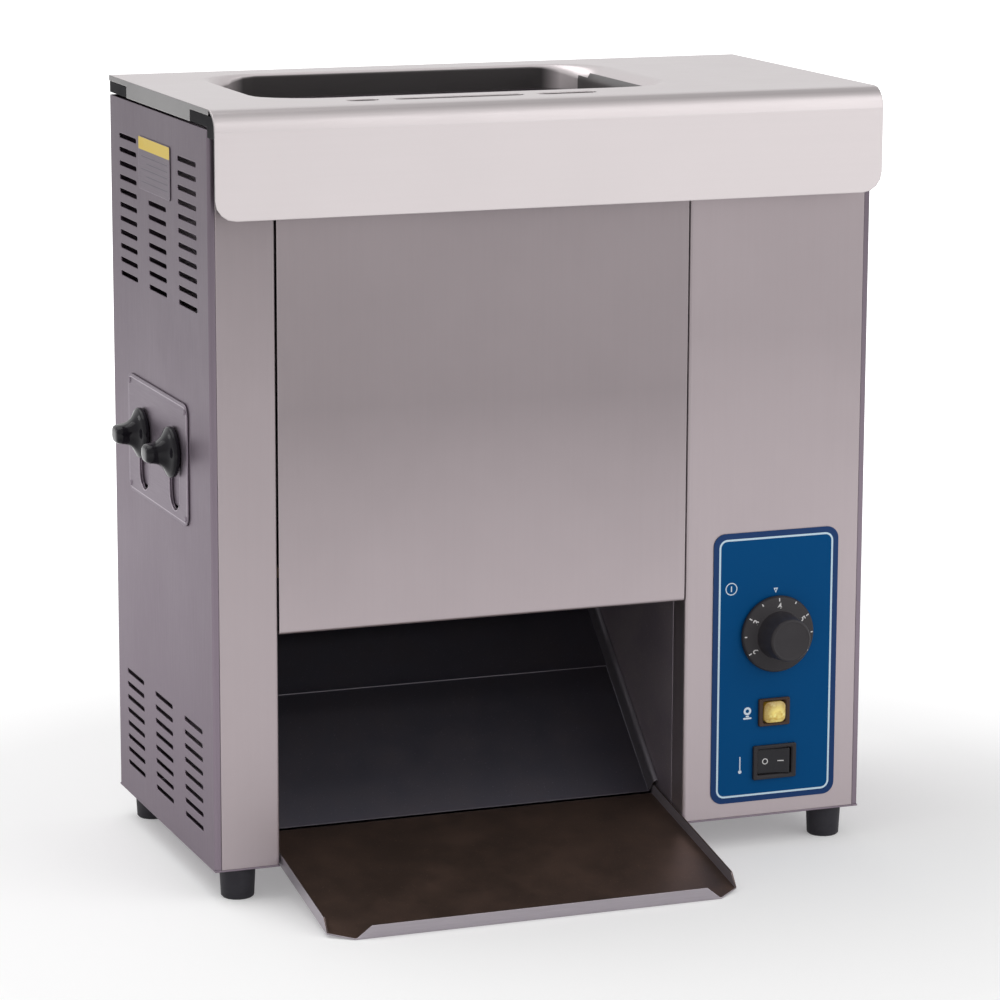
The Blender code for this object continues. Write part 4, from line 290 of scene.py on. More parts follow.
def spread(tree, value, low, high, to_low=0.0, to_high=1.0):
    """Add a clamped range change and return its result."""
    return add_node(tree, "MapRange", {"Value": value, "From Min": low, "From Max": high,
                                       "To Min": to_low, "To Max": to_high}).outputs["Result"]


def sums(tree, operation, first, second):
    """Add a math node and return its result."""
    return add_node(tree, "Math", {0: first, 1: second}, operation=operation).outputs[0]


def times(tree, first, second):
    """Multiply two values."""
    return sums(tree, "MULTIPLY", first, second)


def blend_colour(tree, factor, first, second, way="MIX"):
    """Add a colour mix and return its result."""
    first, second = ((*part, 1.0) if isinstance(part, tuple) else part for part in (first, second))
    made = add_node(tree, "Mix", {0: factor, 6: first, 7: second}, data_type="RGBA", blend_type=way)
    return made.outputs[2]


def dimmed(tree, mask, colour, share):
    """Return a colour multiplied by a share where a mask is 1."""
    return blend_colour(tree, mask, colour, blend_colour(tree, 1.0, colour, (share,) * 3, "MULTIPLY"))


def place_in(tree):
    """Return a surface's place in its object."""
    return add_node(tree, "TexCoord").outputs["Object"]


def along(tree, vector, axis):
    """Return the part of a vector that lies along an axis."""
    return add_node(tree, "SeparateXYZ", {0: vector}).outputs[axis]


def facing(tree, axis, limit):
    """Return 1 where a face's normal stays below a limit along an axis."""
    normal = add_node(tree, "NewGeometry").outputs["True Normal"]
    return sums(tree, "LESS_THAN", along(tree, normal, axis), limit)


def leaning(tree, axis, none, full):
    """Return how far a surface's smooth normal has turned along an axis, from none to full."""
    return spread(tree, along(tree, add_node(tree, "NewGeometry").outputs["Normal"], axis), none, full)


def beyond(tree, axis, operation, limit):
    """Return 1 where a surface lies beyond a place along an axis."""
    return sums(tree, operation, along(tree, place_in(tree), axis), limit)


def across_x(tree, low, high):
    """Return 1 outside two places across the body and 0 between them."""
    return sums(tree, "MAXIMUM", beyond(tree, "X", "LESS_THAN", spot(low, 0, 0).x),
                beyond(tree, "X", "GREATER_THAN", spot(high, 0, 0).x))


# Shared effects, as node groups

NUMBER, VECTOR = "NodeSocketFloat", "NodeSocketVector"


def new_group(name, inputs, outputs):
    """Return a shader node group with named sockets, and its end nodes."""
    tree = bpy.data.node_groups.new(name, "ShaderNodeTree")
    for label, (kind, value) in inputs.items():
        tree.interface.new_socket(name=label, in_out="INPUT", socket_type=kind).default_value = value
    for label, kind in outputs.items():
        tree.interface.new_socket(name=label, in_out="OUTPUT", socket_type=kind)
    return tree, tree.nodes.new("NodeGroupInput"), tree.nodes.new("NodeGroupOutput")


def make_grain(name):
    """Make fine lines and broad streaks along the sheet's grain."""
    tree, entry, end = new_group(name, {"Stretch": (VECTOR, (1.0, 1.0, 1.0))},
                                 {"Line": NUMBER, "Streak": NUMBER})
    drawn = add_node(tree, "VectorMath", {0: place_in(tree), 1: entry.outputs["Stretch"]},
                     operation="MULTIPLY").outputs[0]
    fill(tree, end, {"Line": noise(tree, drawn, 1.0, 4.0, 0.65), "Streak": noise(tree, drawn, 0.12, 2.0)})
    return tree


def make_wear_and_highlight(name):
    """Make a mask of the corners that are lightened, as wear and as a painted edge highlight, and a normal
    that rounds them.
    """
    tree, entry, end = new_group(name, {"Radius": (NUMBER, 0.001)}, {"Edge": NUMBER, "Normal": VECTOR})
    soft = add_node(tree, "Bevel", {"Radius": entry.outputs["Radius"]}, samples=6).outputs[0]
    flat = add_node(tree, "NewGeometry").outputs["Normal"]
    turn = add_node(tree, "VectorMath", {0: soft, 1: flat}, operation="DOT_PRODUCT").outputs["Value"]
    fill(tree, end, {"Edge": spread(tree, turn, 0.995, 0.85), "Normal": soft})
    return tree


def make_marks(name):
    """Make the soft clouds and small spots left by hands and cloths."""
    tree, entry, end = new_group(name, {"Scale": (NUMBER, 1.0)}, {"Cloud": NUMBER, "Spot": NUMBER})
    sized = add_node(tree, "VectorMath", {0: place_in(tree), 3: entry.outputs["Scale"]},
                     operation="SCALE").outputs[0]
    fill(tree, end, {"Cloud": noise(tree, sized, 9.0, 5.0, 0.6),
                     "Spot": spread(tree, noise(tree, sized, 260.0, 2.0), 0.66, 0.74)})
    return tree


def make_skin(name):
    """Make the fine texture of plastic and rubber, and the dust in it."""
    tree, entry, end = new_group(name, {"Scale": (NUMBER, 900.0)}, {"Height": NUMBER, "Dust": NUMBER})
    place = place_in(tree)
    fill(tree, end, {"Height": noise(tree, place, entry.outputs["Scale"], 2.0),
                     "Dust": spread(tree, noise(tree, place, 35.0, 6.0, 0.7), 0.45, 0.75)})
    return tree


def make_height_shade(name):
    """Make a value from 0 at the foot of a panel to 1 at its top: the mask of the painted shade that darkens
    its top.
    """
    tree, entry, end = new_group(name, {"Foot": (NUMBER, 0.1), "Head": (NUMBER, 0.5)}, {"Tone": NUMBER})
    height = along(tree, place_in(tree), "Z")
    fill(tree, end, {"Tone": spread(tree, height, entry.outputs["Foot"], entry.outputs["Head"])})
    return tree


GROUP_MAKERS = {"Brushed grain": make_grain, "Edge wear": make_wear_and_highlight, "Handling marks": make_marks,
                "Moulded skin": make_skin, "Height tone": make_height_shade}
GROUPS = {}


def shared(tree, name, **values):
    """Place a shared effect in a material, making it the first time, and return its outputs."""
    if name not in GROUPS:
        GROUPS[name] = GROUP_MAKERS[name](name)
    return add_node(tree, "Group", values, node_tree=GROUPS[name]).outputs


# Materials

UPRIGHT_GRAIN = (2600.0, 2600.0, 38.0)
LEVEL_GRAIN = (38.0, 2600.0, 2600.0)
DEEP_GRAIN = (2600.0, 38.0, 2600.0)
STEEL_METAL = 0.85
STAINED_METAL = 0.7
# What dust adds to a colour
DUST = 0.06
# Depth in mm behind which the lid's faces belong to its throat, and before which to its bend, where shade is
# painted
THROAT_Y = 150
BEND_Y = 20
# Outside these places across the body the chute stays clean
CHUTE_EDGES = (56.0, 385.5)


def new_material(name):
    """Return a new material with its tree and its Principled shader."""
    made = bpy.data.materials.new(name)
    made.use_nodes = True
    return made, made.node_tree, made.node_tree.nodes["Principled BSDF"]


def surface(tree, shader, radius, base, rubbed_and_highlit, rough, relief, wear=0.5):
    """Give a shader its colour with edges lightened by wear and by a painted highlight, its roughness and its
    relief.
    """
    corner = shared(tree, "Edge wear", Radius=radius)
    height, strength, depth = relief
    bump = add_node(tree, "Bump", {"Height": height, "Strength": strength, "Distance": depth,
                                   "Normal": corner["Normal"]})
    # Corners are lightened both as wear and as a painted edge highlight.
    worn_and_highlit = blend_colour(tree, times(tree, corner["Edge"], wear), base, rubbed_and_highlit)
    fill(tree, shader, {"Base Color": worn_and_highlit, "Roughness": rough, "Normal": bump.outputs[0]})


def steel(name, colour, rough, grain, edge=1.2, streaks=0.035, cloud=0.03, head=None, rise=(0.12, 0.52),
          left=None, inner=None, graze=1.0):
    """Make brushed steel. Painted shade darkens it by given shares at the top, on left-hand faces, and in the
    lid's throat and over its bend.
    """
    material, tree, shader = new_material(name)
    lines = shared(tree, "Brushed grain", Stretch=grain)
    clouds = shared(tree, "Handling marks")["Cloud"]
    mixed = sums(tree, "ADD", times(tree, lines["Line"], 0.5), times(tree, lines["Streak"], 0.5))
    tone = blend_colour(tree, mixed, shade(colour, 1 - streaks), shade(colour, 1 + streaks))
    tone = blend_colour(tree, spread(tree, clouds, 0.35, 0.7, 0.0, cloud * 4), tone,
                        shade(colour, 1 - cloud * 2))
    fill(tree, shader, {"Metallic": STEEL_METAL, "Specular Tint": (graze, graze, graze, 1.0)})
    # Painted shade: the panel is darker towards its top, standing in for the studio's reflections.
    if head:
        height = shared(tree, "Height tone", Foot=rise[0], Head=rise[1])["Tone"]
        tone = dimmed(tree, height, tone, head)
    # Painted shade: faces turned to the left are darker and less metallic, as they face away from the light.
    if left:
        shaded_left_faces = facing(tree, "X", -0.8)
        tone = dimmed(tree, shaded_left_faces, tone, left)
        fill(tree, shader, {"Metallic": spread(tree, shaded_left_faces, 0.0, 1.0, STEEL_METAL, 0.1)})
    # Painted shade in the lid's throat and over its front bend.
    if inner:
        tone = shade_throat_and_bend(tree, tone, *inner)
    dull = sums(tree, "ADD", spread(tree, lines["Line"], 0.3, 0.7, rough - 0.05, rough + 0.06),
                spread(tree, clouds, 0.4, 0.7, 0.0, 0.05))
    surface(tree, shader, 0.0012, tone, shade(colour, edge), dull, (lines["Line"], 0.06, 0.0002))
    return material


def shade_throat_and_bend(tree, colour, throat, bend):
    """Return a colour darkened by painted shade at the far side of the lid's throat and in a band above its
    front bend.
    """
    throat_shade = times(tree, leaning(tree, "Y", -0.8, -0.97),
                   beyond(tree, "Y", "GREATER_THAN", spot(0, THROAT_Y, 0).y))
    bent = times(tree, leaning(tree, "Z", 0.995, 0.93), leaning(tree, "Z", 0.62, 0.8))
    bend_shade = times(tree, bent, beyond(tree, "Y", "LESS_THAN", spot(0, BEND_Y, 0).y))
    return dimmed(tree, bend_shade, dimmed(tree, throat_shade, colour, throat), bend)


def moulded(name, colour, rough, scale=900.0, bumpy=0.15, dust=0.0, edge=1.6, gloss=0.25):
    """Make moulded plastic or rubber."""
    material, tree, shader = new_material(name)
    skin = shared(tree, "Moulded skin", Scale=scale)
    dusty = blend_colour(tree, spread(tree, skin["Dust"], 0.0, 1.0, 0.0, dust), colour,
                         tuple(part + DUST for part in colour))
    dull = spread(tree, skin["Dust"], 0.0, 1.0, rough, rough + 0.12)
    surface(tree, shader, 0.0005, dusty, shade(colour, edge), dull, (skin["Height"], bumpy, 0.0001))
    shader.inputs["Specular IOR Level"].default_value = gloss
    return material


def stained(name, bare, dark, brown, rough, edges=None, flat_only=True, wear=0.6):
    """Make steel that heat and use have stained, between two edges or where it lies flat."""
    material, tree, shader = new_material(name)
    lines = shared(tree, "Brushed grain", Stretch=LEVEL_GRAIN)
    marks = shared(tree, "Handling marks", Scale=3.0)
    burnt = blend_colour(tree, spread(tree, marks["Cloud"], 0.38, 0.66), dark, brown)
    tone = blend_colour(tree, times(tree, marks["Spot"], 0.5), burnt, shade(brown, 2.2))
    clean = across_x(tree, *edges) if edges else None
    if flat_only:
        steep = facing(tree, "Z", 0.6)
        clean = sums(tree, "MAXIMUM", clean, steep) if clean else steep
    if clean:
        brushed = blend_colour(tree, lines["Line"], shade(bare, 0.8), shade(bare, 1.15))
        tone = blend_colour(tree, clean, tone, brushed)
    dull = spread(tree, marks["Cloud"], 0.3, 0.7, rough - 0.03, rough + 0.05)
    surface(tree, shader, 0.0008, tone, shade(bare, 1.3), dull, (marks["Cloud"], 0.2, 0.0004), wear)
    shader.inputs["Metallic"].default_value = STAINED_METAL
    return material


def printed(name, colour, rough=0.4):
    """Make the ink or film of a printed mark."""
    material, tree, shader = new_material(name)
    skin = shared(tree, "Moulded skin", Scale=1500.0)
    ink = blend_colour(tree, skin["Height"], shade(colour, 0.94), shade(colour, 1.06))
    fill(tree, shader, {"Base Color": ink, "Specular IOR Level": 0.25,
                        "Roughness": spread(tree, skin["Dust"], 0.0, 1.0, rough, rough + 0.1)})
    return material


def amber_lens(name):
    """Make the lit lens: an amber moulding with a ribbed back that glows, with a painted highlight a little
    below and right of its middle and painted shade at its rim.
    """
    material, tree, shader = new_material(name)
    place = place_in(tree)
    cells = add_node(tree, "TexVoronoi", {"Vector": place, "Scale": 330.0}, feature="F1",
                     distance="CHEBYCHEV").outputs["Distance"]
    glow = blend_colour(tree, spread(tree, cells, 0.1, 0.6), screen(250, 238, 150), screen(196, 160, 62))
    cloud = noise(tree, place, 140.0, 2.0)
    clear = blend_colour(tree, spread(tree, cloud, 0.35, 0.65), glow, screen(236, 214, 118))
    # Painted highlight and painted shade: the lens's colour and glow are lightest a little right of and below
    # its middle and darken towards its rim.
    x, _, z = middle(*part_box("lamp_button"))
    offset = add_node(tree, "VectorMath", {0: place, 1: (x + 0.002, 0.0, z - 0.002)},
                      operation="SUBTRACT").outputs[0]
    flat = add_node(tree, "VectorMath", {0: offset, 1: (1.0, 0.0, 1.0)}, operation="MULTIPLY").outputs[0]
    away = add_node(tree, "VectorMath", {0: flat}, operation="LENGTH").outputs["Value"]
    lit = blend_colour(tree, spread(tree, away, 0.004, 0.0125), clear, screen(140, 108, 38))
    bump = add_node(tree, "Bump", {"Height": cells, "Strength": 0.35, "Distance": 0.0005})
    fill(tree, shader, {"Base Color": lit, "Emission Color": lit, "Emission Strength": 0.28,
                        "Roughness": spread(tree, cloud, 0.3, 0.7, 0.16, 0.26), "Coat Weight": 0.4,
                        "Normal": bump.outputs[0]})
    return material


def chosen(name, share=1.0):
    """Return a colour chosen in the panel, made lighter or darker."""
    return shade(getattr(bpy.context.scene.toaster_looks, name), share)


FINISHES = {
    # The shares given for the top of a panel paint shade there.
    "front steel": lambda name: steel(
        name, chosen("front_steel", 1.42), 0.38, UPRIGHT_GRAIN, head=0.585, rise=(0.05, 0.42)),
    "post steel": lambda name: steel(name, chosen("front_steel", 1.28), 0.38, UPRIGHT_GRAIN, head=0.5),
    "cover steel": lambda name: steel(
        name, chosen("front_steel", 1.27), 0.38, UPRIGHT_GRAIN, head=0.53, rise=(0.17, 0.38)),
    # Painted shade: the side and rear panels take a darker copy of the front steel.
    "side steel": lambda name: steel(name, chosen("side_steel"), 0.4, UPRIGHT_GRAIN, head=0.55, graze=0.66),
    # The lid gets painted shade on its left-hand faces, at the far side of its throat and over its bend.
    "lid steel": lambda name: steel(
        name, chosen("lid_steel"), 0.33, LEVEL_GRAIN, 1.1, 0.025, 0.02, left=0.17, inner=(0.1, 0.7)),
    "plate steel": lambda name: steel(
        name, chosen("plate_steel"), 0.4, DEEP_GRAIN, 1.25, head=0.55, graze=0.66),
    # Painted highlight: the light steel of the plate's outline and of its slot rims.
    "plate line": lambda name: steel(name, screen(176, 166, 176), 0.36, DEEP_GRAIN, head=0.7, graze=0.75),
    "inner steel": lambda name: steel(name, (0.3, 0.29, 0.3), 0.4, UPRIGHT_GRAIN, 1.3, 0.1, 0.1),
    "cast aluminium": lambda name: steel(name, (0.5, 0.5, 0.52), 0.55, (300.0,) * 3, 1.2, 0.06, 0.08),
    "bronze": lambda name: steel(name, (0.52, 0.36, 0.16), 0.4, (900.0,) * 3),
    "wall steel": lambda name: stained(
        name, screen(190, 180, 190), screen(150, 140, 150), screen(160, 150, 156), 0.5, flat_only=False,
        wear=0.2),
    "chute steel": lambda name: stained(
        name, screen(128, 124, 131), screen(72, 70, 79), screen(74, 70, 77), 0.42, CHUTE_EDGES, wear=0.12),
    "tray steel": lambda name: stained(
        name, screen(176, 169, 176), screen(92, 76, 68), screen(106, 86, 76), 0.4, wear=0.5),
    "release cloth": lambda name: moulded(name, (0.17, 0.11, 0.07), 0.45, 2500.0, 0.3),
    "belt rubber": lambda name: moulded(name, (0.16, 0.15, 0.14), 0.7, 700.0, 0.5, 0.5),
    "roller rubber": lambda name: moulded(name, (0.03, 0.03, 0.03), 0.7, 700.0, 0.4),
    "foot rubber": lambda name: moulded(name, screen(46, 44, 50), 0.55, 600.0, 0.35, 0.3),
    "motor paint": lambda name: moulded(name, (0.16, 0.16, 0.18), 0.45, 300.0, 0.2),
    "trim black": lambda name: moulded(name, screen(26, 25, 28), 0.35, 1200.0, gloss=0.006),
    "bezel black": lambda name: moulded(name, screen(46, 43, 46), 0.38, 1500.0, 0.2),
    "lamp frame": lambda name: moulded(name, screen(70, 52, 44), 0.4, 1500.0, 0.2),
    "rocker black": lambda name: moulded(name, screen(42, 41, 45), 0.3, 1500.0, 0.12),
    "knob black": lambda name: moulded(name, screen(30, 28, 33), 0.08, 600.0, 0.02, edge=1.1, gloss=0.14),
    "dial black": lambda name: moulded(name, screen(50, 47, 50), 0.42, 1800.0, 0.25, 0.15),
    "overlay film": lambda name: moulded(name, chosen("overlay"), 0.4, 1400.0, 0.12, edge=1.1, gloss=0.06),
    "amber lens": amber_lens,
    "overlay border": lambda name: printed(name, screen(5, 54, 108)),
    "overlay line": lambda name: printed(name, screen(214, 238, 255)),
    "white print": lambda name: printed(name, screen(226, 238, 252), 0.45),
    "dial print": lambda name: printed(name, screen(226, 224, 224), 0.5),
    "label yellow": lambda name: printed(name, screen(214, 184, 62), 0.45),
    "label line": lambda name: printed(name, screen(84, 80, 90), 0.5),
    "recess black": lambda name: printed(name, screen(30, 28, 30), 0.6),
}
MATERIALS = {}


def finish(name):
    """Return a finish of the toaster, making it the first time."""
    if name not in MATERIALS:
        MATERIALS[name] = FINISHES[name](name)
    return MATERIALS[name]


# What a user may change

COLOUR = {"subtype": "COLOR", "size": 3, "min": 0, "max": 1}
POWER = {"subtype": "POWER", "min": 0.0}


class ToasterLooks(bpy.types.PropertyGroup):
    """Colours of the toaster's finishes."""
    front_steel: FloatVectorProperty(
        name="Front steel", description="Colour of the front panels and cover",
        default=screen(157, 147, 150), **COLOUR)
    # Painted shade: the side steel is the front panels' steel made darker, for the faces turned from the
    # light.
    side_steel: FloatVectorProperty(
        name="Side steel", description="Colour of the side and rear panels",
        default=screen(133, 121, 132), **COLOUR)
    lid_steel: FloatVectorProperty(
        name="Lid steel", description="Colour of the top cover", default=screen(191, 184, 185), **COLOUR)
    plate_steel: FloatVectorProperty(
        name="Plate steel", description="Colour of the adjuster and data plates",
        default=screen(138, 127, 138), **COLOUR)
    overlay: FloatVectorProperty(
        name="Overlay", description="Colour of the control panel's film",
        default=screen(3, 78, 134), **COLOUR)


class ToasterSizes(bpy.types.PropertyGroup):
    """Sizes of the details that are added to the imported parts."""
    line_inset: FloatProperty(
        name="Line inset", description="Distance of the overlay's line from its edge, in mm",
        default=4.6, min=1.0, max=12.0)
    line_width: FloatProperty(
        name="Line width", description="Width of the overlay's line, in mm", default=1.55, min=0.3, max=4.0)
    digit_height: FloatProperty(
        name="Digit height", description="Height of the dial's digits, in mm", default=5.6, min=2.0, max=8.0)
    label_strip: FloatProperty(
        name="Label strip", description="Height of the data plate's yellow strip, in mm",
        default=10.0, min=2.0, max=20.0)


class ToasterStudio(bpy.types.PropertyGroup):
    """Light round the toaster."""
    key_power: FloatProperty(
        name="Key light", description="Power of the large light at the right", default=27.0, **POWER)
    side_power: FloatProperty(
        name="Side light", description="Power of the small light behind the left side", default=2.0, **POWER)
    top_power: FloatProperty(
        name="Top light", description="Power of the light overhead", default=52.0, **POWER)
    sky: FloatProperty(
        name="Sky", description="Strength of the even light all round", default=0.52, min=0.0)
    floor_glow: FloatProperty(
        name="Floor glow", description="What the floor adds to its lit colour", default=0.25, min=0.0)


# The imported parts' finishes

def pair(name, ends=("front", "rear")):
    """Return the names of two like parts."""
    return tuple(f"{end}_{name}" for end in ends)


SIDES = ("left", "right")
FEET = (*pair("left_foot"), *pair("right_foot"))
PANELS = (*pair("side_panel", SIDES), "rear_panel")
PLATES = ("adjuster_plate", "data_plate", *pair("adjuster_carriage"))
NODE_FINISHES = {
    "front steel": ("front_right_fascia",),
    "post steel": ("front_left_post",),
    "cover steel": ("front_cover",),
    "side steel": (*PANELS, "base_pan"),
    "lid steel": ("top_cover",),
    "plate steel": PLATES,
    "wall steel": (*pair("bulkhead", SIDES), "chamber_back"),
    "inner steel": ("cover_hang_rod", "feed_divider", *pair("feed_guide"), "carriage_guide",
                    "cartridge_heaters", "motor_bracket", *pair("conveyor_frame"), *pair("idler_roller"),
                    *pair("sprocket"), "motor_sprocket", "idler_sprocket", "drive_chain"),
    "chute steel": ("bun_chute",),
    "tray steel": ("bun_tray",),
    "cast aluminium": ("platen",),
    "bronze": pair("bearing_bar", SIDES),
    "release cloth": ("release_sheet",),
    "belt rubber": pair("belt"),
    "roller rubber": pair("drive_roller"),
    "foot rubber": FEET,
    "trim black": (*pair("corner_trim", SIDES), "fan_housing", "fan_rotor", "dial_controller", "power_inlet"),
    "bezel black": ("lamp_housing", "rocker_housing"),
    "rocker black": ("rocker",),
    "knob black": pair("adjuster_knob"),
    "dial black": ("dial_knob",),
    "overlay film": ("control_overlay",),
    "motor paint": ("gearmotor",),
}
# Degrees below which facets count as one flat, and above which a bend stays sharp
FLAT_ANGLE, BEND_CREASE = 0.5, 40.0
# The parts that get smooth bends
FORMED = {"top_cover", "front_left_post", "front_right_fascia", "front_cover", "bun_chute", "bun_tray",
          "platen", "fan_housing", "control_overlay", "release_sheet", "feed_divider", *FEET, *PANELS,
          *PLATES, *pair("corner_trim", SIDES), *pair("bulkhead", SIDES), *pair("belt"), *pair("feed_guide")}


class TOASTER_OT_finish_parts(bpy.types.Operator):
    """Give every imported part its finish"""
    bl_idname = "toaster.finish_parts"
    bl_label = "Finish Parts"

    def execute(self, context):
        for name, nodes in NODE_FINISHES.items():
            for node in nodes:
                cover_node(node, finish(name))
        return {"FINISHED"}


class TOASTER_OT_form_sheets(bpy.types.Operator):
    """Form the curved and folded parts with smooth bends"""
    bl_idname = "toaster.form_sheets"
    bl_label = "Form Sheets"

    def execute(self, context):
        slots = {part["node"]: part["material_slot"] for part in frame["record"]["subparts"]}
        for body, nodes in frame["record"]["behaviour"]["bodies"].items():
            for node in nodes:
                if node in FORMED:
                    self.form(node, body, slots[node])
        return {"FINISHED"}

    def form(self, node, body, slot):
        """Make a welded copy of a part whose bends are smooth and whose flats stay flat."""
        mesh = frame["nodes"][node].data
        bm = bmesh.new()
        bm.from_mesh(mesh)
        bmesh.ops.remove_doubles(bm, verts=bm.verts, dist=WELD)
        bmesh.ops.dissolve_limit(bm, angle_limit=math.radians(FLAT_ANGLE), verts=bm.verts, edges=bm.edges)
        piece = add_piece(f"{node}_formed", bm, mesh.materials[0], body, [node], BEND_CREASE)
        apply_modifier(piece, "WEIGHTED_NORMAL", mode="FACE_AREA", weight=100, keep_sharp=True)


# The control panel's print: places in mm, then radii or half sizes
OVERLAY_CORNER = 10.0
LINE_SOFTER = 1.5
POINTER = (467.5, 210.8)
POINTER_SIDES = ((-1.9, 2.0), (1.9, 2.0), (0.0, -2.2))
POINTER_HOLE = ((-0.8, 1.2), (0.0, -0.7), (0.8, 1.2))
SIGN_RINGS = (((428.8, 214.6), 5.1, 4.3), ((444.4, 113.2), 3.3, 1.5))
SIGN_BARS = (((428.8, 214.6), (0.5, 2.3), 0.3), ((444.4, 107.2), (3.6, 0.7), 0.5),
             ((444.4, 108.9), (1.4, 0.6), 0.3), ((438.5, 70.25), (0.45, 5.75), 0.3))
ARROW_DOT = ((438.5, 63.4), 1.5, 24)


class TOASTER_OT_print_overlay(bpy.types.Operator):
    """Print the control panel's border, line and symbols"""
    bl_idname = "toaster.print_overlay"
    bl_label = "Print Overlay"

    def execute(self, context):
        sizes = context.scene.toaster_sizes
        low, high = measured("control_overlay")
        depths = printed_on(low.y)
        corners = face_of(low, high)
        border = ring(bmesh.new(), corners, OVERLAY_CORNER, sizes.line_inset, *depths)
        line = ring(bmesh.new(), grown(corners, -sizes.line_inset),
                    OVERLAY_CORNER - sizes.line_inset + LINE_SOFTER, sizes.line_width, *depths)
        for name, bm, ink in (("overlay_border", border, "overlay border"),
                              ("overlay_line", line, "overlay line"),
                              ("overlay_symbols", self.symbols(*depths), "white print")):
            add_piece(name, bm, finish(ink), "housing")
        return {"FINISHED"}

    def symbols(self, *depths):
        """Return the pointer, the ringed mark, the lamp sign and the arrow as thin plates."""
        bm = bmesh.new()
        sides, hole = ([(POINTER[0] + x, POINTER[1] + z) for x, z in corners]
                       for corners in (POINTER_SIDES, POINTER_HOLE))
        plate(bm, sides[::-1], *depths, [hole])
        for centre, outer, inner in SIGN_RINGS:
            plate(bm, circle(centre, outer), *depths, [circle(centre, inner)[::-1]])
        for centre, half, radius in SIGN_BARS:
            plate(bm, soft_rectangle(around(centre, *half), radius, 3), *depths)
        return plate(bm, circle(*ARROW_DOT), *depths)


# The dial's radii, its back, the foot of its edge and the heights of its skirt, in mm
DIAL = {"spigot": 3.0, "skirt": 31.2, "rim": 29.9, "hub": 19.0, "cap": 17.0, "back": -1.75, "foot": -4.2,
        "rise": 6.0, "shoulder": 7.4}
DIAL_SOFTNESS = 0.9
# The tip's slope, bevel, flat and sunk face
TIP_SLOPE, TIP_BEVEL, TIP_FLAT, TIP_SUNK = 1.4, 1.2, 2.4, 0.35
TICKS = range(-4, 5)
TICK_TURN = 30
TICK_END = 29.8
TICK_LENGTHS = (2.6, 2.0)
TICK_HALF = 0.5
DIGITS = "23456"
DIGIT_TURN = 60
DIGIT_CIRCLE = 22.9
DIGIT_WEIGHT = 0.12
# Size of the typeface for digits of height 1
TYPE_SIZE = 1.38


def dial_face(radius):
    """Return the depth of the dial's skirt at a distance from its axis."""
    share = (DIAL["rim"] - radius) / (DIAL["rim"] - DIAL["hub"])
    return -(DIAL["rise"] + (DIAL["shoulder"] - DIAL["rise"]) * share)


class TOASTER_OT_make_dial(bpy.types.Operator):
    """Turn the dial with its marks and digits"""
    bl_idname = "toaster.make_dial"
    bl_label = "Make Dial"

    def execute(self, context):
        low, high = measured("dial_knob")
        centre = middle(low, high)[::2]
        spigot, skirt, cap, back, tip = DIAL["spigot"], DIAL["skirt"], DIAL["cap"], DIAL["back"], low.y
        profile = [(0, high.y), (spigot, high.y), (spigot, back), (skirt, back), (skirt, DIAL["foot"]),
                   (DIAL["rim"], -DIAL["rise"]), (DIAL["hub"] + 0.4, -DIAL["shoulder"]),
                   (cap + 0.3, tip + TIP_SLOPE), (cap - TIP_BEVEL, tip), (cap - TIP_FLAT, tip + TIP_SUNK),
                   (0, tip + TIP_SUNK)]
        body = turned(bmesh.new(), rounded(profile, DIAL_SOFTNESS), centre)
        add_piece("dial_body", body, finish("dial black"), "dial", ["dial_knob"])
        marks = bmesh.new()
        for tick in TICKS:
            self.add_tick(marks, centre, math.radians(90 - tick * TICK_TURN), TICK_LENGTHS[tick % 2])
        add_piece("dial_marks", marks, finish("dial print"), "dial")
        self.add_digits(centre, context.scene.toaster_sizes.digit_height)
        return {"FINISHED"}

    def add_tick(self, bm, centre, turn, length):
        """Add one radial tick that lies on the skirt."""
        out = Vector((math.cos(turn), math.sin(turn)))
        side = Vector((-out.y, out.x))
        start = TICK_END - length
        rows = []
        for lift in (RAISE / 2, -RAISE):
            row = []
            for radius, across in ((start, -TICK_HALF), (TICK_END, -TICK_HALF), (TICK_END, TICK_HALF),
                                   (start, TICK_HALF)):
                place = Vector(centre) + out * radius + side * across
                row.append(bm.verts.new(spot(place.x, dial_face(radius) - lift, place.y)))
            rows.append(row)
        cap_rows(bm, rows)

    def add_digits(self, centre, height):
        """Add the digits round the skirt, their heads outwards."""
        bm = bmesh.new()
        for index, digit in enumerate(DIGITS):
            curve = settle(bpy.data.curves.new("digit", "FONT"), body=digit, size=height * TYPE_SIZE,
                           align_x="CENTER", align_y="CENTER", extrude=RAISE, offset=DIGIT_WEIGHT)
            letter = new_object("digit", curve)
            mesh = shape_of(letter)
            turn = -(index - len(DIGITS) // 2) * math.radians(DIGIT_TURN)
            for vert in mesh.vertices:
                x, z = vert.co.x, vert.co.y + DIGIT_CIRCLE
                depth = dial_face(math.hypot(x, z)) - vert.co.z
                vert.co = spot(centre[0] + x * math.cos(turn) - z * math.sin(turn), depth,
                               centre[1] + x * math.sin(turn) + z * math.cos(turn))
            bm.from_mesh(mesh)
            bpy.data.objects.remove(letter)
            bpy.data.curves.remove(curve)
            bpy.data.meshes.remove(mesh)
        add_piece("dial_digits", bm, finish("dial print"), "dial")


# The lamp's lens: corner radius, crown and the power that spaces the crown's steps
LENS_CORNER, LENS_CROWN, LENS_SPACING = 4.4, 2.0, 1.6
LENS_STEPS = 6
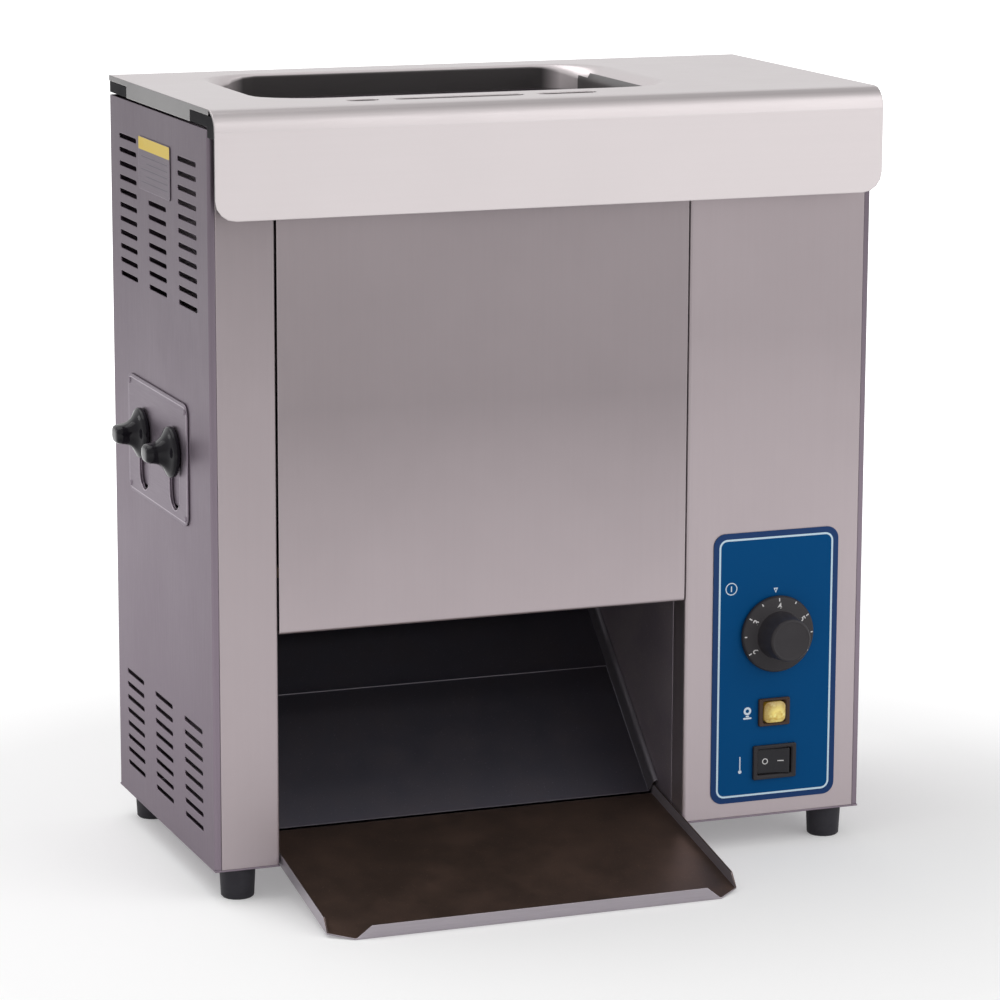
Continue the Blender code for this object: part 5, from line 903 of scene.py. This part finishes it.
# Each housing's opening in mm, and its finish
OPENINGS = {"lamp_housing": ((19.1, 17.6), "lamp frame"), "rocker_housing": ((29.4, 21.4), "bezel black")}
BEZEL_SEAT, BEZEL_BACK = -1.1, 12.0
ROCKER_HALF = (13.8, 10.4)
ROCKER_FRONT = -5.35
ROCKER_DISH, ROCKER_LIP, ROCKER_FLAT = 1.5, 0.6, 0.94
ROCKER_TURN = -8
ROCKER_DEPTH = 3.0
ROCKER_STEPS = 24
# Share of the half height, and drop behind the face, from edge to edge
ROCKER_EDGE = ((-1.0, 3.0), (-1.0, 0.7), (-0.94, 0.0), (0.94, 0.0), (1.0, 0.7), (1.0, 3.0))
OFF_RING = ((-6.4, 0.0), 2.5, 1.75)
ON_BAR = ((4.0, -0.4), (9.2, -0.4), (9.2, 0.4), (4.0, 0.4))


def pillow(bm, corners, front, back):
    """Add a button with round corners and a crowned face."""
    outline = soft_rectangle(corners, LENS_CORNER, 6)
    centre = middle(*corners)
    rows = [lay(bm, outline, back)]
    for step in range(LENS_STEPS + 1):
        share = 1 - (step / (LENS_STEPS + 1)) ** LENS_SPACING
        inner = [[mid + (part - mid) * share for mid, part in zip(centre, point)] for point in outline]
        rows.append(lay(bm, inner, front + LENS_CROWN * share ** 3))
    return cap_rows(bm, rows)


def bezel(bm, rim, opening, front):
    """Add a bezel whose rim slopes down to its opening."""
    hole = around(middle(*rim), opening[0] / 2, opening[1] / 2)
    # Each row's corners, how far they are grown, corner radius and depth
    rows = ((rim, 0.0, 1.2, BEZEL_SEAT), (rim, 0.0, 1.2, front + 0.5), (rim, -0.5, 1.0, front),
            (hole, 1.0, 1.0, front + 0.15), (hole, 0.0, 0.8, front + 1.2), (hole, 0.0, 0.8, BEZEL_BACK))
    return join_rows(bm, [lay(bm, soft_rectangle(grown(corners, by), radius, 4), depth)
                          for corners, by, radius, depth in rows], closed=True)


def rocker_face(x):
    """Return the depth of the rocker's dished face at a distance from its middle."""
    return ROCKER_FRONT + ROCKER_DISH * (1 - (x / ROCKER_HALF[0]) ** 2)


class TOASTER_OT_make_switches(bpy.types.Operator):
    """Mould the lit button, the rocker and their bezels"""
    bl_idname = "toaster.make_switches"
    bl_label = "Make Switches"

    def execute(self, context):
        low, high = measured("lamp_button")
        lens = pillow(bmesh.new(), face_of(low, high), low.y, high.y)
        add_piece("lamp_lens", lens, finish("amber lens"), "button", ["lamp_button"])
        for node, (opening, look) in OPENINGS.items():
            low, high = measured(node)
            rim = bezel(bmesh.new(), face_of(low, high), opening, low.y)
            add_piece(node.replace("housing", "bezel"), rim, finish(look), "housing", [node])
        x, _, z = middle(*measured("rocker"))
        turn = (Matrix.Translation(spot(x, ROCKER_DEPTH, z))
                @ Matrix.Rotation(math.radians(ROCKER_TURN), 4, "Z") @ Matrix.Scale(MM, 4))
        for name, bm, look, instead in (("rocker_key", self.rocker(), "rocker black", ["rocker"]),
                                        ("rocker_marks", self.rocker_marks(), "dial print", ())):
            bmesh.ops.transform(bm, matrix=turn, verts=bm.verts)
            add_piece(name, bm, finish(look), "power_rocker", instead)
        return {"FINISHED"}

    def rocker(self):
        """Return the dished rocker, in millimetres about its axis."""
        bm = bmesh.new()
        sections = []
        for step in range(ROCKER_STEPS + 1):
            share = step / ROCKER_STEPS * 2 - 1
            x = share * ROCKER_HALF[0]
            lip = ROCKER_LIP * max(0.0, abs(share) - ROCKER_FLAT) / (1 - ROCKER_FLAT)
            sections.append([bm.verts.new((x, rocker_face(x) + lip + drop, up * ROCKER_HALF[1]))
                             for up, drop in ROCKER_EDGE])
        return cap_rows(bm, sections)

    def rocker_marks(self):
        """Return the ring and the bar that say off and on."""
        bm = bmesh.new()

        def layer(outline, lift):
            return [bm.verts.new((x, rocker_face(x) - lift, z)) for x, z in outline]

        centre, *radii = OFF_RING
        outer, inner = (circle(centre, radius, 32) for radius in radii)
        rows = [layer(outer, RAISE), layer(outer, -RAISE), layer(inner, -RAISE), layer(inner, RAISE)]
        join_rows(bm, rows, closed=True)
        return cap_rows(bm, [layer(ON_BAR, RAISE), layer(ON_BAR, -RAISE)])


# The data plate's strip and lines, in mm
STRIP_INSET, STRIP_CORNER = 0.4, 1.2
LINE_COUNT, LINE_PITCH, LINE_HALF = 5, 5.0, 0.35
LINE_START, LINE_END, LINE_STAGGER = 6.0, 8.0, 14.0
# The adjuster plate's light line and the light rims round its slots, painted highlights of its embossed
# outline and punched edges, in mm
ADJUSTER_FACE = -1.5
ADJUSTER_CORNERS = ((57.8, 283.5), (222.8, 379.0))
ADJUSTER_INSET, ADJUSTER_LINE, ADJUSTER_RADIUS = 2.4, 0.8, 6.6
SLOT_PLACES = (93.0, 178.0)
SLOT_HALF, SLOT_LOW, SLOT_HIGH = 14.0, 291.0, 351.0
RIM_WIDTH, RIM_RADIUS, RIM_LAYERS = 0.7, 14.6, 3


class TOASTER_OT_mark_plates(bpy.types.Operator):
    """Add the data plate's strip and lines, and the adjuster plate's outline and the rims of its slots, both
    light lines of painted highlight
    """
    bl_idname = "toaster.mark_plates"
    bl_label = "Mark Plates"

    def execute(self, context):
        strip, lines = self.label(context.scene.toaster_sizes.label_strip)
        outline = ring(bmesh.new(), grown(ADJUSTER_CORNERS, -ADJUSTER_INSET), ADJUSTER_RADIUS, ADJUSTER_LINE,
                       *printed_on(ADJUSTER_FACE), side_spot)
        # Painted highlight: a light rim round each slot stands for the light on its punched edge.
        highlight_rims = bmesh.new()
        for place in SLOT_PLACES:
            slot = ((place - SLOT_HALF, SLOT_LOW), (place + SLOT_HALF, SLOT_HIGH))
            ring(highlight_rims, grown(slot, RIM_WIDTH), RIM_RADIUS, RIM_WIDTH, *printed_on(ADJUSTER_FACE, RIM_LAYERS),
                 side_spot)
        for name, bm, look in (("label_strip", strip, "label yellow"), ("label_lines", lines, "label line"),
                               ("adjuster_plate_line", outline, "plate line"),
                               ("slot_rims", highlight_rims, "plate line")):
            add_piece(name, bm, finish(look), "housing")
        return {"FINISHED"}

    def label(self, strip):
        """Return the data plate's strip and its lines."""
        low, high = measured("data_plate")
        depths = printed_on(low.x)
        band = ((low.y + STRIP_INSET, high.z - strip), (high.y - STRIP_INSET, high.z - STRIP_INSET))
        bm = plate(bmesh.new(), soft_rectangle(band, STRIP_CORNER, 4), *depths, place=side_spot)
        lines = bmesh.new()
        for row in range(LINE_COUNT):
            z = high.z - strip - LINE_PITCH * (row + 1)
            end = high.y - LINE_END - (row % 2) * LINE_STAGGER
            line = ((low.y + LINE_START, z - LINE_HALF), (end, z + LINE_HALF))
            plate(lines, soft_rectangle(line, 0.2, 2), *depths, place=side_spot)
        return bm, lines


# The lever knob from flange to tip: distance from the plate, half width and half height, in mm
LEVER = ((0.0, 18.9, 18.9), (0.5, 19.7, 19.7), (1.3, 20.0, 20.0), (3.2, 20.0, 20.0), (4.4, 19.5, 19.5),
         (5.2, 18.2, 18.4), (5.9, 16.2, 16.9), (6.9, 13.8, 15.2), (8.1, 12.0, 13.2), (9.6, 10.9, 11.3),
         (11.4, 10.2, 9.8), (13.4, 9.9, 8.7), (15.8, 9.8, 8.0), (18.4, 9.9, 7.6), (20.6, 9.8, 7.3),
         (22.3, 9.3, 6.7), (23.3, 8.3, 5.8), (23.8, 6.6, 4.4), (24.0, 3.6, 2.3))
LEVER_TIP = LEVER[-1][0]
BORE_RADIUS, BORE_DEPTH = 3.3, 18.2
# Powers of a round and of the grip's squarish section, and where the change begins and how long it takes
ROUND, SQUARISH = 2.0, 2.9
GRIP_START, GRIP_CHANGE = 5.0, 8.0
KNOB_CREASE = 60.0


class TOASTER_OT_make_knobs(bpy.types.Operator):
    """Mould the two lever knobs, round at the flange and flat at the grip"""
    bl_idname = "toaster.make_knobs"
    bl_label = "Make Knobs"

    def execute(self, context):
        for side in ("front", "rear"):
            node = f"{side}_adjuster_knob"
            low, high = measured(node)
            centre = middle(low, high)[1:]
            stretch = (high.x - low.x) / LEVER_TIP
            rows = [(BORE_DEPTH, 0.0, 0.0, ROUND), (BORE_DEPTH, BORE_RADIUS, BORE_RADIUS, ROUND),
                    (0.0, BORE_RADIUS, BORE_RADIUS, ROUND)]
            for out, wide, tall in LEVER:
                change = min(1.0, max(0.0, (out - GRIP_START) / GRIP_CHANGE))
                rows.append((out * stretch, wide, tall, ROUND + (SQUARISH - ROUND) * change))
            rows.append((LEVER_TIP * stretch, 0.0, 0.0, ROUND))
            bm = bmesh.new()
            join_rows(bm, [self.section(bm, high.x - out, centre, *sizes) for out, *sizes in rows])
            add_piece(f"{side}_lever_knob", bm, finish("knob black"), f"{side}_knob", [node],
                      KNOB_CREASE)
        return {"FINISHED"}

    def section(self, bm, x, centre, wide, tall, square):
        """Add one cross-section, between an ellipse and a rectangle."""
        if not wide:
            return [bm.verts.new(spot(x, *centre))]
        made = []
        for across, up in circle((0, 0), 1, FINE):
            y = centre[0] + wide * math.copysign(abs(across) ** (2 / square), across)
            z = centre[1] + tall * math.copysign(abs(up) ** (2 / square), up)
            made.append(bm.verts.new(spot(x, y, z)))
        return made


# The rear panel's screws: distance from its edges, places by height, and half sizes of the cross, in mm; each
# cross is a dark plate of painted shade
SCREW_INSET = 7.0
SCREW_HEIGHTS = (0.06, 0.35, 0.65, 0.94)
CROSS = ((1.6, 0.3), (0.3, 1.6))


class TOASTER_OT_shade_screw_recesses(bpy.types.Operator):
    """Add a dark cross of painted shade on each screw that shows, for its cross recess"""
    bl_idname = "toaster.cut_screws"
    bl_label = "Cut Screws"

    def execute(self, context):
        bm = bmesh.new()
        face = measured("rear_panel")[1].y
        low, high = measured("left_side_panel")
        width = measured("right_side_panel")[1].x
        for x in (SCREW_INSET, width - SCREW_INSET):
            for share in SCREW_HEIGHTS:
                centre = (x, low.z + (high.z - low.z) * share)
                for half in CROSS:
                    # Painted shade: a dark flat cross stands for the shade in each screw's recess.
                    plate(bm, soft_rectangle(around(centre, *half), 0.2, 2), face - RAISE, face + RAISE)
        add_piece("rear_screw_recesses", bm, finish("recess black"), "housing")
        return {"FINISHED"}


# Each lamp's place, target and size in metres, by the setting that holds its power
LAMPS = {"key_power": ((1.9, -2.3, 2.0), (0.05, 0.0, 0.3), 3.0),
         "side_power": ((-1.9, 1.5, 0.75), (-0.3, 0.05, 0.33), 0.5),
         "top_power": ((-1.2, 0.9, 3.2), (0.0, 0.0, 0.3), 3.0)}
FLOOR_HALF = 30.0
FLOOR_COLOUR = (0.8, 0.8, 0.8, 1.0)
# Distances over which the floor fades to white
FLOOR_FADE = (0.5, 1.6)
# The camera's place in mm, its yaw, pitch and roll, its focal length in picture widths, its reach in metres
CAMERA_PLACE = (-854.49, -2850.17, 930.97)
CAMERA_TURNS = (20.8716, -11.6763, 0.1882)
CAMERA_LENGTH = 4.03228
CAMERA_REACH = 100.0


class TOASTER_OT_set_studio(bpy.types.Operator):
    """Set the floor, the light and the camera of the photograph"""
    bl_idname = "toaster.set_studio"
    bl_label = "Set Studio"

    def execute(self, context):
        studio = context.scene.toaster_studio
        self.add_floor(studio.floor_glow)
        self.add_world(studio.sky)
        for power, (place, target, size) in LAMPS.items():
            self.add_light(power.replace("power", "light"), place, target, size, getattr(studio, power))
        self.add_camera()
        context.scene.view_settings.view_transform = "Standard"
        return {"FINISHED"}

    def add_floor(self, strength):
        """Add the pale floor, bright to the camera and to reflections, which keeps the shadow."""
        bm = bmesh.new()
        bmesh.ops.create_grid(bm, x_segments=1, y_segments=1, size=FLOOR_HALF)
        mesh = bpy.data.meshes.new("studio_floor")
        bm.to_mesh(mesh)
        bm.free()
        material = bpy.data.materials.new("studio floor")
        mesh.materials.append(material)
        tree = self.blank_tree(material)
        matt = add_node(tree, "BsdfDiffuse", {"Color": FLOOR_COLOUR})
        away = add_node(tree, "VectorMath", {0: place_in(tree)}, operation="LENGTH").outputs["Value"]
        glow = add_node(tree, "Emission",
                        {"Strength": self.seen(tree, spread(tree, away, *FLOOR_FADE, strength, 1.0))})
        both = add_node(tree, "AddShader", {0: matt.outputs[0], 1: glow.outputs[0]})
        add_node(tree, "OutputMaterial", {"Surface": both.outputs[0]})
        new_object("studio_floor", mesh)

    def blank_tree(self, block):
        """Return the emptied node tree of a material or world."""
        block.use_nodes = True
        block.node_tree.nodes.clear()
        return block.node_tree

    def seen(self, tree, strength):
        """Return a strength that only camera, glossy and transmission rays meet."""
        path = add_node(tree, "LightPath").outputs
        both = sums(tree, "MAXIMUM", path["Is Camera Ray"], path["Is Glossy Ray"])
        return times(tree, sums(tree, "MAXIMUM", both, path["Is Transmission Ray"]), strength)

    def add_world(self, sky):
        """Light the toaster evenly from all round, against white."""
        world = bpy.data.worlds.new("studio")
        bpy.context.scene.world = world
        tree = self.blank_tree(world)
        strength = sums(tree, "MAXIMUM", self.seen(tree, 1.0), sky)
        light = add_node(tree, "Background", {"Color": (1.0, 1.0, 1.0, 1.0), "Strength": strength})
        add_node(tree, "OutputWorld", {"Surface": light.outputs[0]})

    def add_light(self, name, place, target, size, power):
        """Add a square lamp that faces a place."""
        lamp = settle(bpy.data.lights.new(name, "AREA"), shape="SQUARE", size=size, energy=power)
        turn = (Vector(target) - Vector(place)).to_track_quat("-Z", "Y").to_euler()
        settle(new_object(name, lamp), location=place, rotation_euler=turn)

    def add_camera(self):
        """Stand the camera where the photograph was taken from."""
        yaw, pitch, roll = (math.radians(angle) for angle in CAMERA_TURNS)
        ahead = Vector((math.sin(yaw) * math.cos(pitch), math.cos(yaw) * math.cos(pitch), math.sin(pitch)))
        right = Vector((math.cos(yaw), -math.sin(yaw), 0.0))
        up = right.cross(ahead)
        right, up = (right * math.cos(roll) + up * math.sin(roll),
                     up * math.cos(roll) - right * math.sin(roll))
        camera = bpy.data.cameras.new("camera")
        settle(camera, lens=CAMERA_LENGTH * camera.sensor_width, clip_end=CAMERA_REACH)
        turn = Matrix((right, up, -ahead)).transposed().to_4x4()
        place = Matrix.Translation(spot(*CAMERA_PLACE))
        bpy.context.scene.camera = settle(new_object("camera", camera), matrix_world=place @ turn)


class TOASTER_PT_dressing(bpy.types.Panel):
    """Lists the steps that dress the toaster"""
    bl_idname = "TOASTER_PT_dressing"
    bl_label = "Toaster"
    bl_space_type = "VIEW_3D"
    bl_region_type = "UI"
    bl_category = "Toaster"

    def draw(self, context):
        for name in SETTINGS:
            group = getattr(context.scene, name)
            for key in group.__annotations__:
                self.layout.prop(group, key)
        for step in STEPS:
            self.layout.operator(step.bl_idname)


STEPS = (TOASTER_OT_set_studio, TOASTER_OT_finish_parts, TOASTER_OT_form_sheets, TOASTER_OT_print_overlay,
         TOASTER_OT_make_dial, TOASTER_OT_make_switches, TOASTER_OT_mark_plates, TOASTER_OT_make_knobs,
         TOASTER_OT_shade_screw_recesses)
SETTINGS = {"toaster_looks": ToasterLooks, "toaster_sizes": ToasterSizes, "toaster_studio": ToasterStudio}
CLASSES = (*SETTINGS.values(), *STEPS, TOASTER_PT_dressing)


def register():
    """Register the classes and hang the settings on the scene."""
    for kind in CLASSES:
        bpy.utils.register_class(kind)
    for name, kind in SETTINGS.items():
        setattr(bpy.types.Scene, name, PointerProperty(type=kind))


def unregister():
    """Take the settings and the classes away again."""
    for name in SETTINGS:
        delattr(bpy.types.Scene, name)
    for kind in reversed(CLASSES):
        bpy.utils.unregister_class(kind)


def main():
    """Dress the toaster step by step."""
    register()
    for step in STEPS:
        group, name = step.bl_idname.split(".")
        getattr(getattr(bpy.ops, group), name)()


if __name__ == "__main__":
    main()
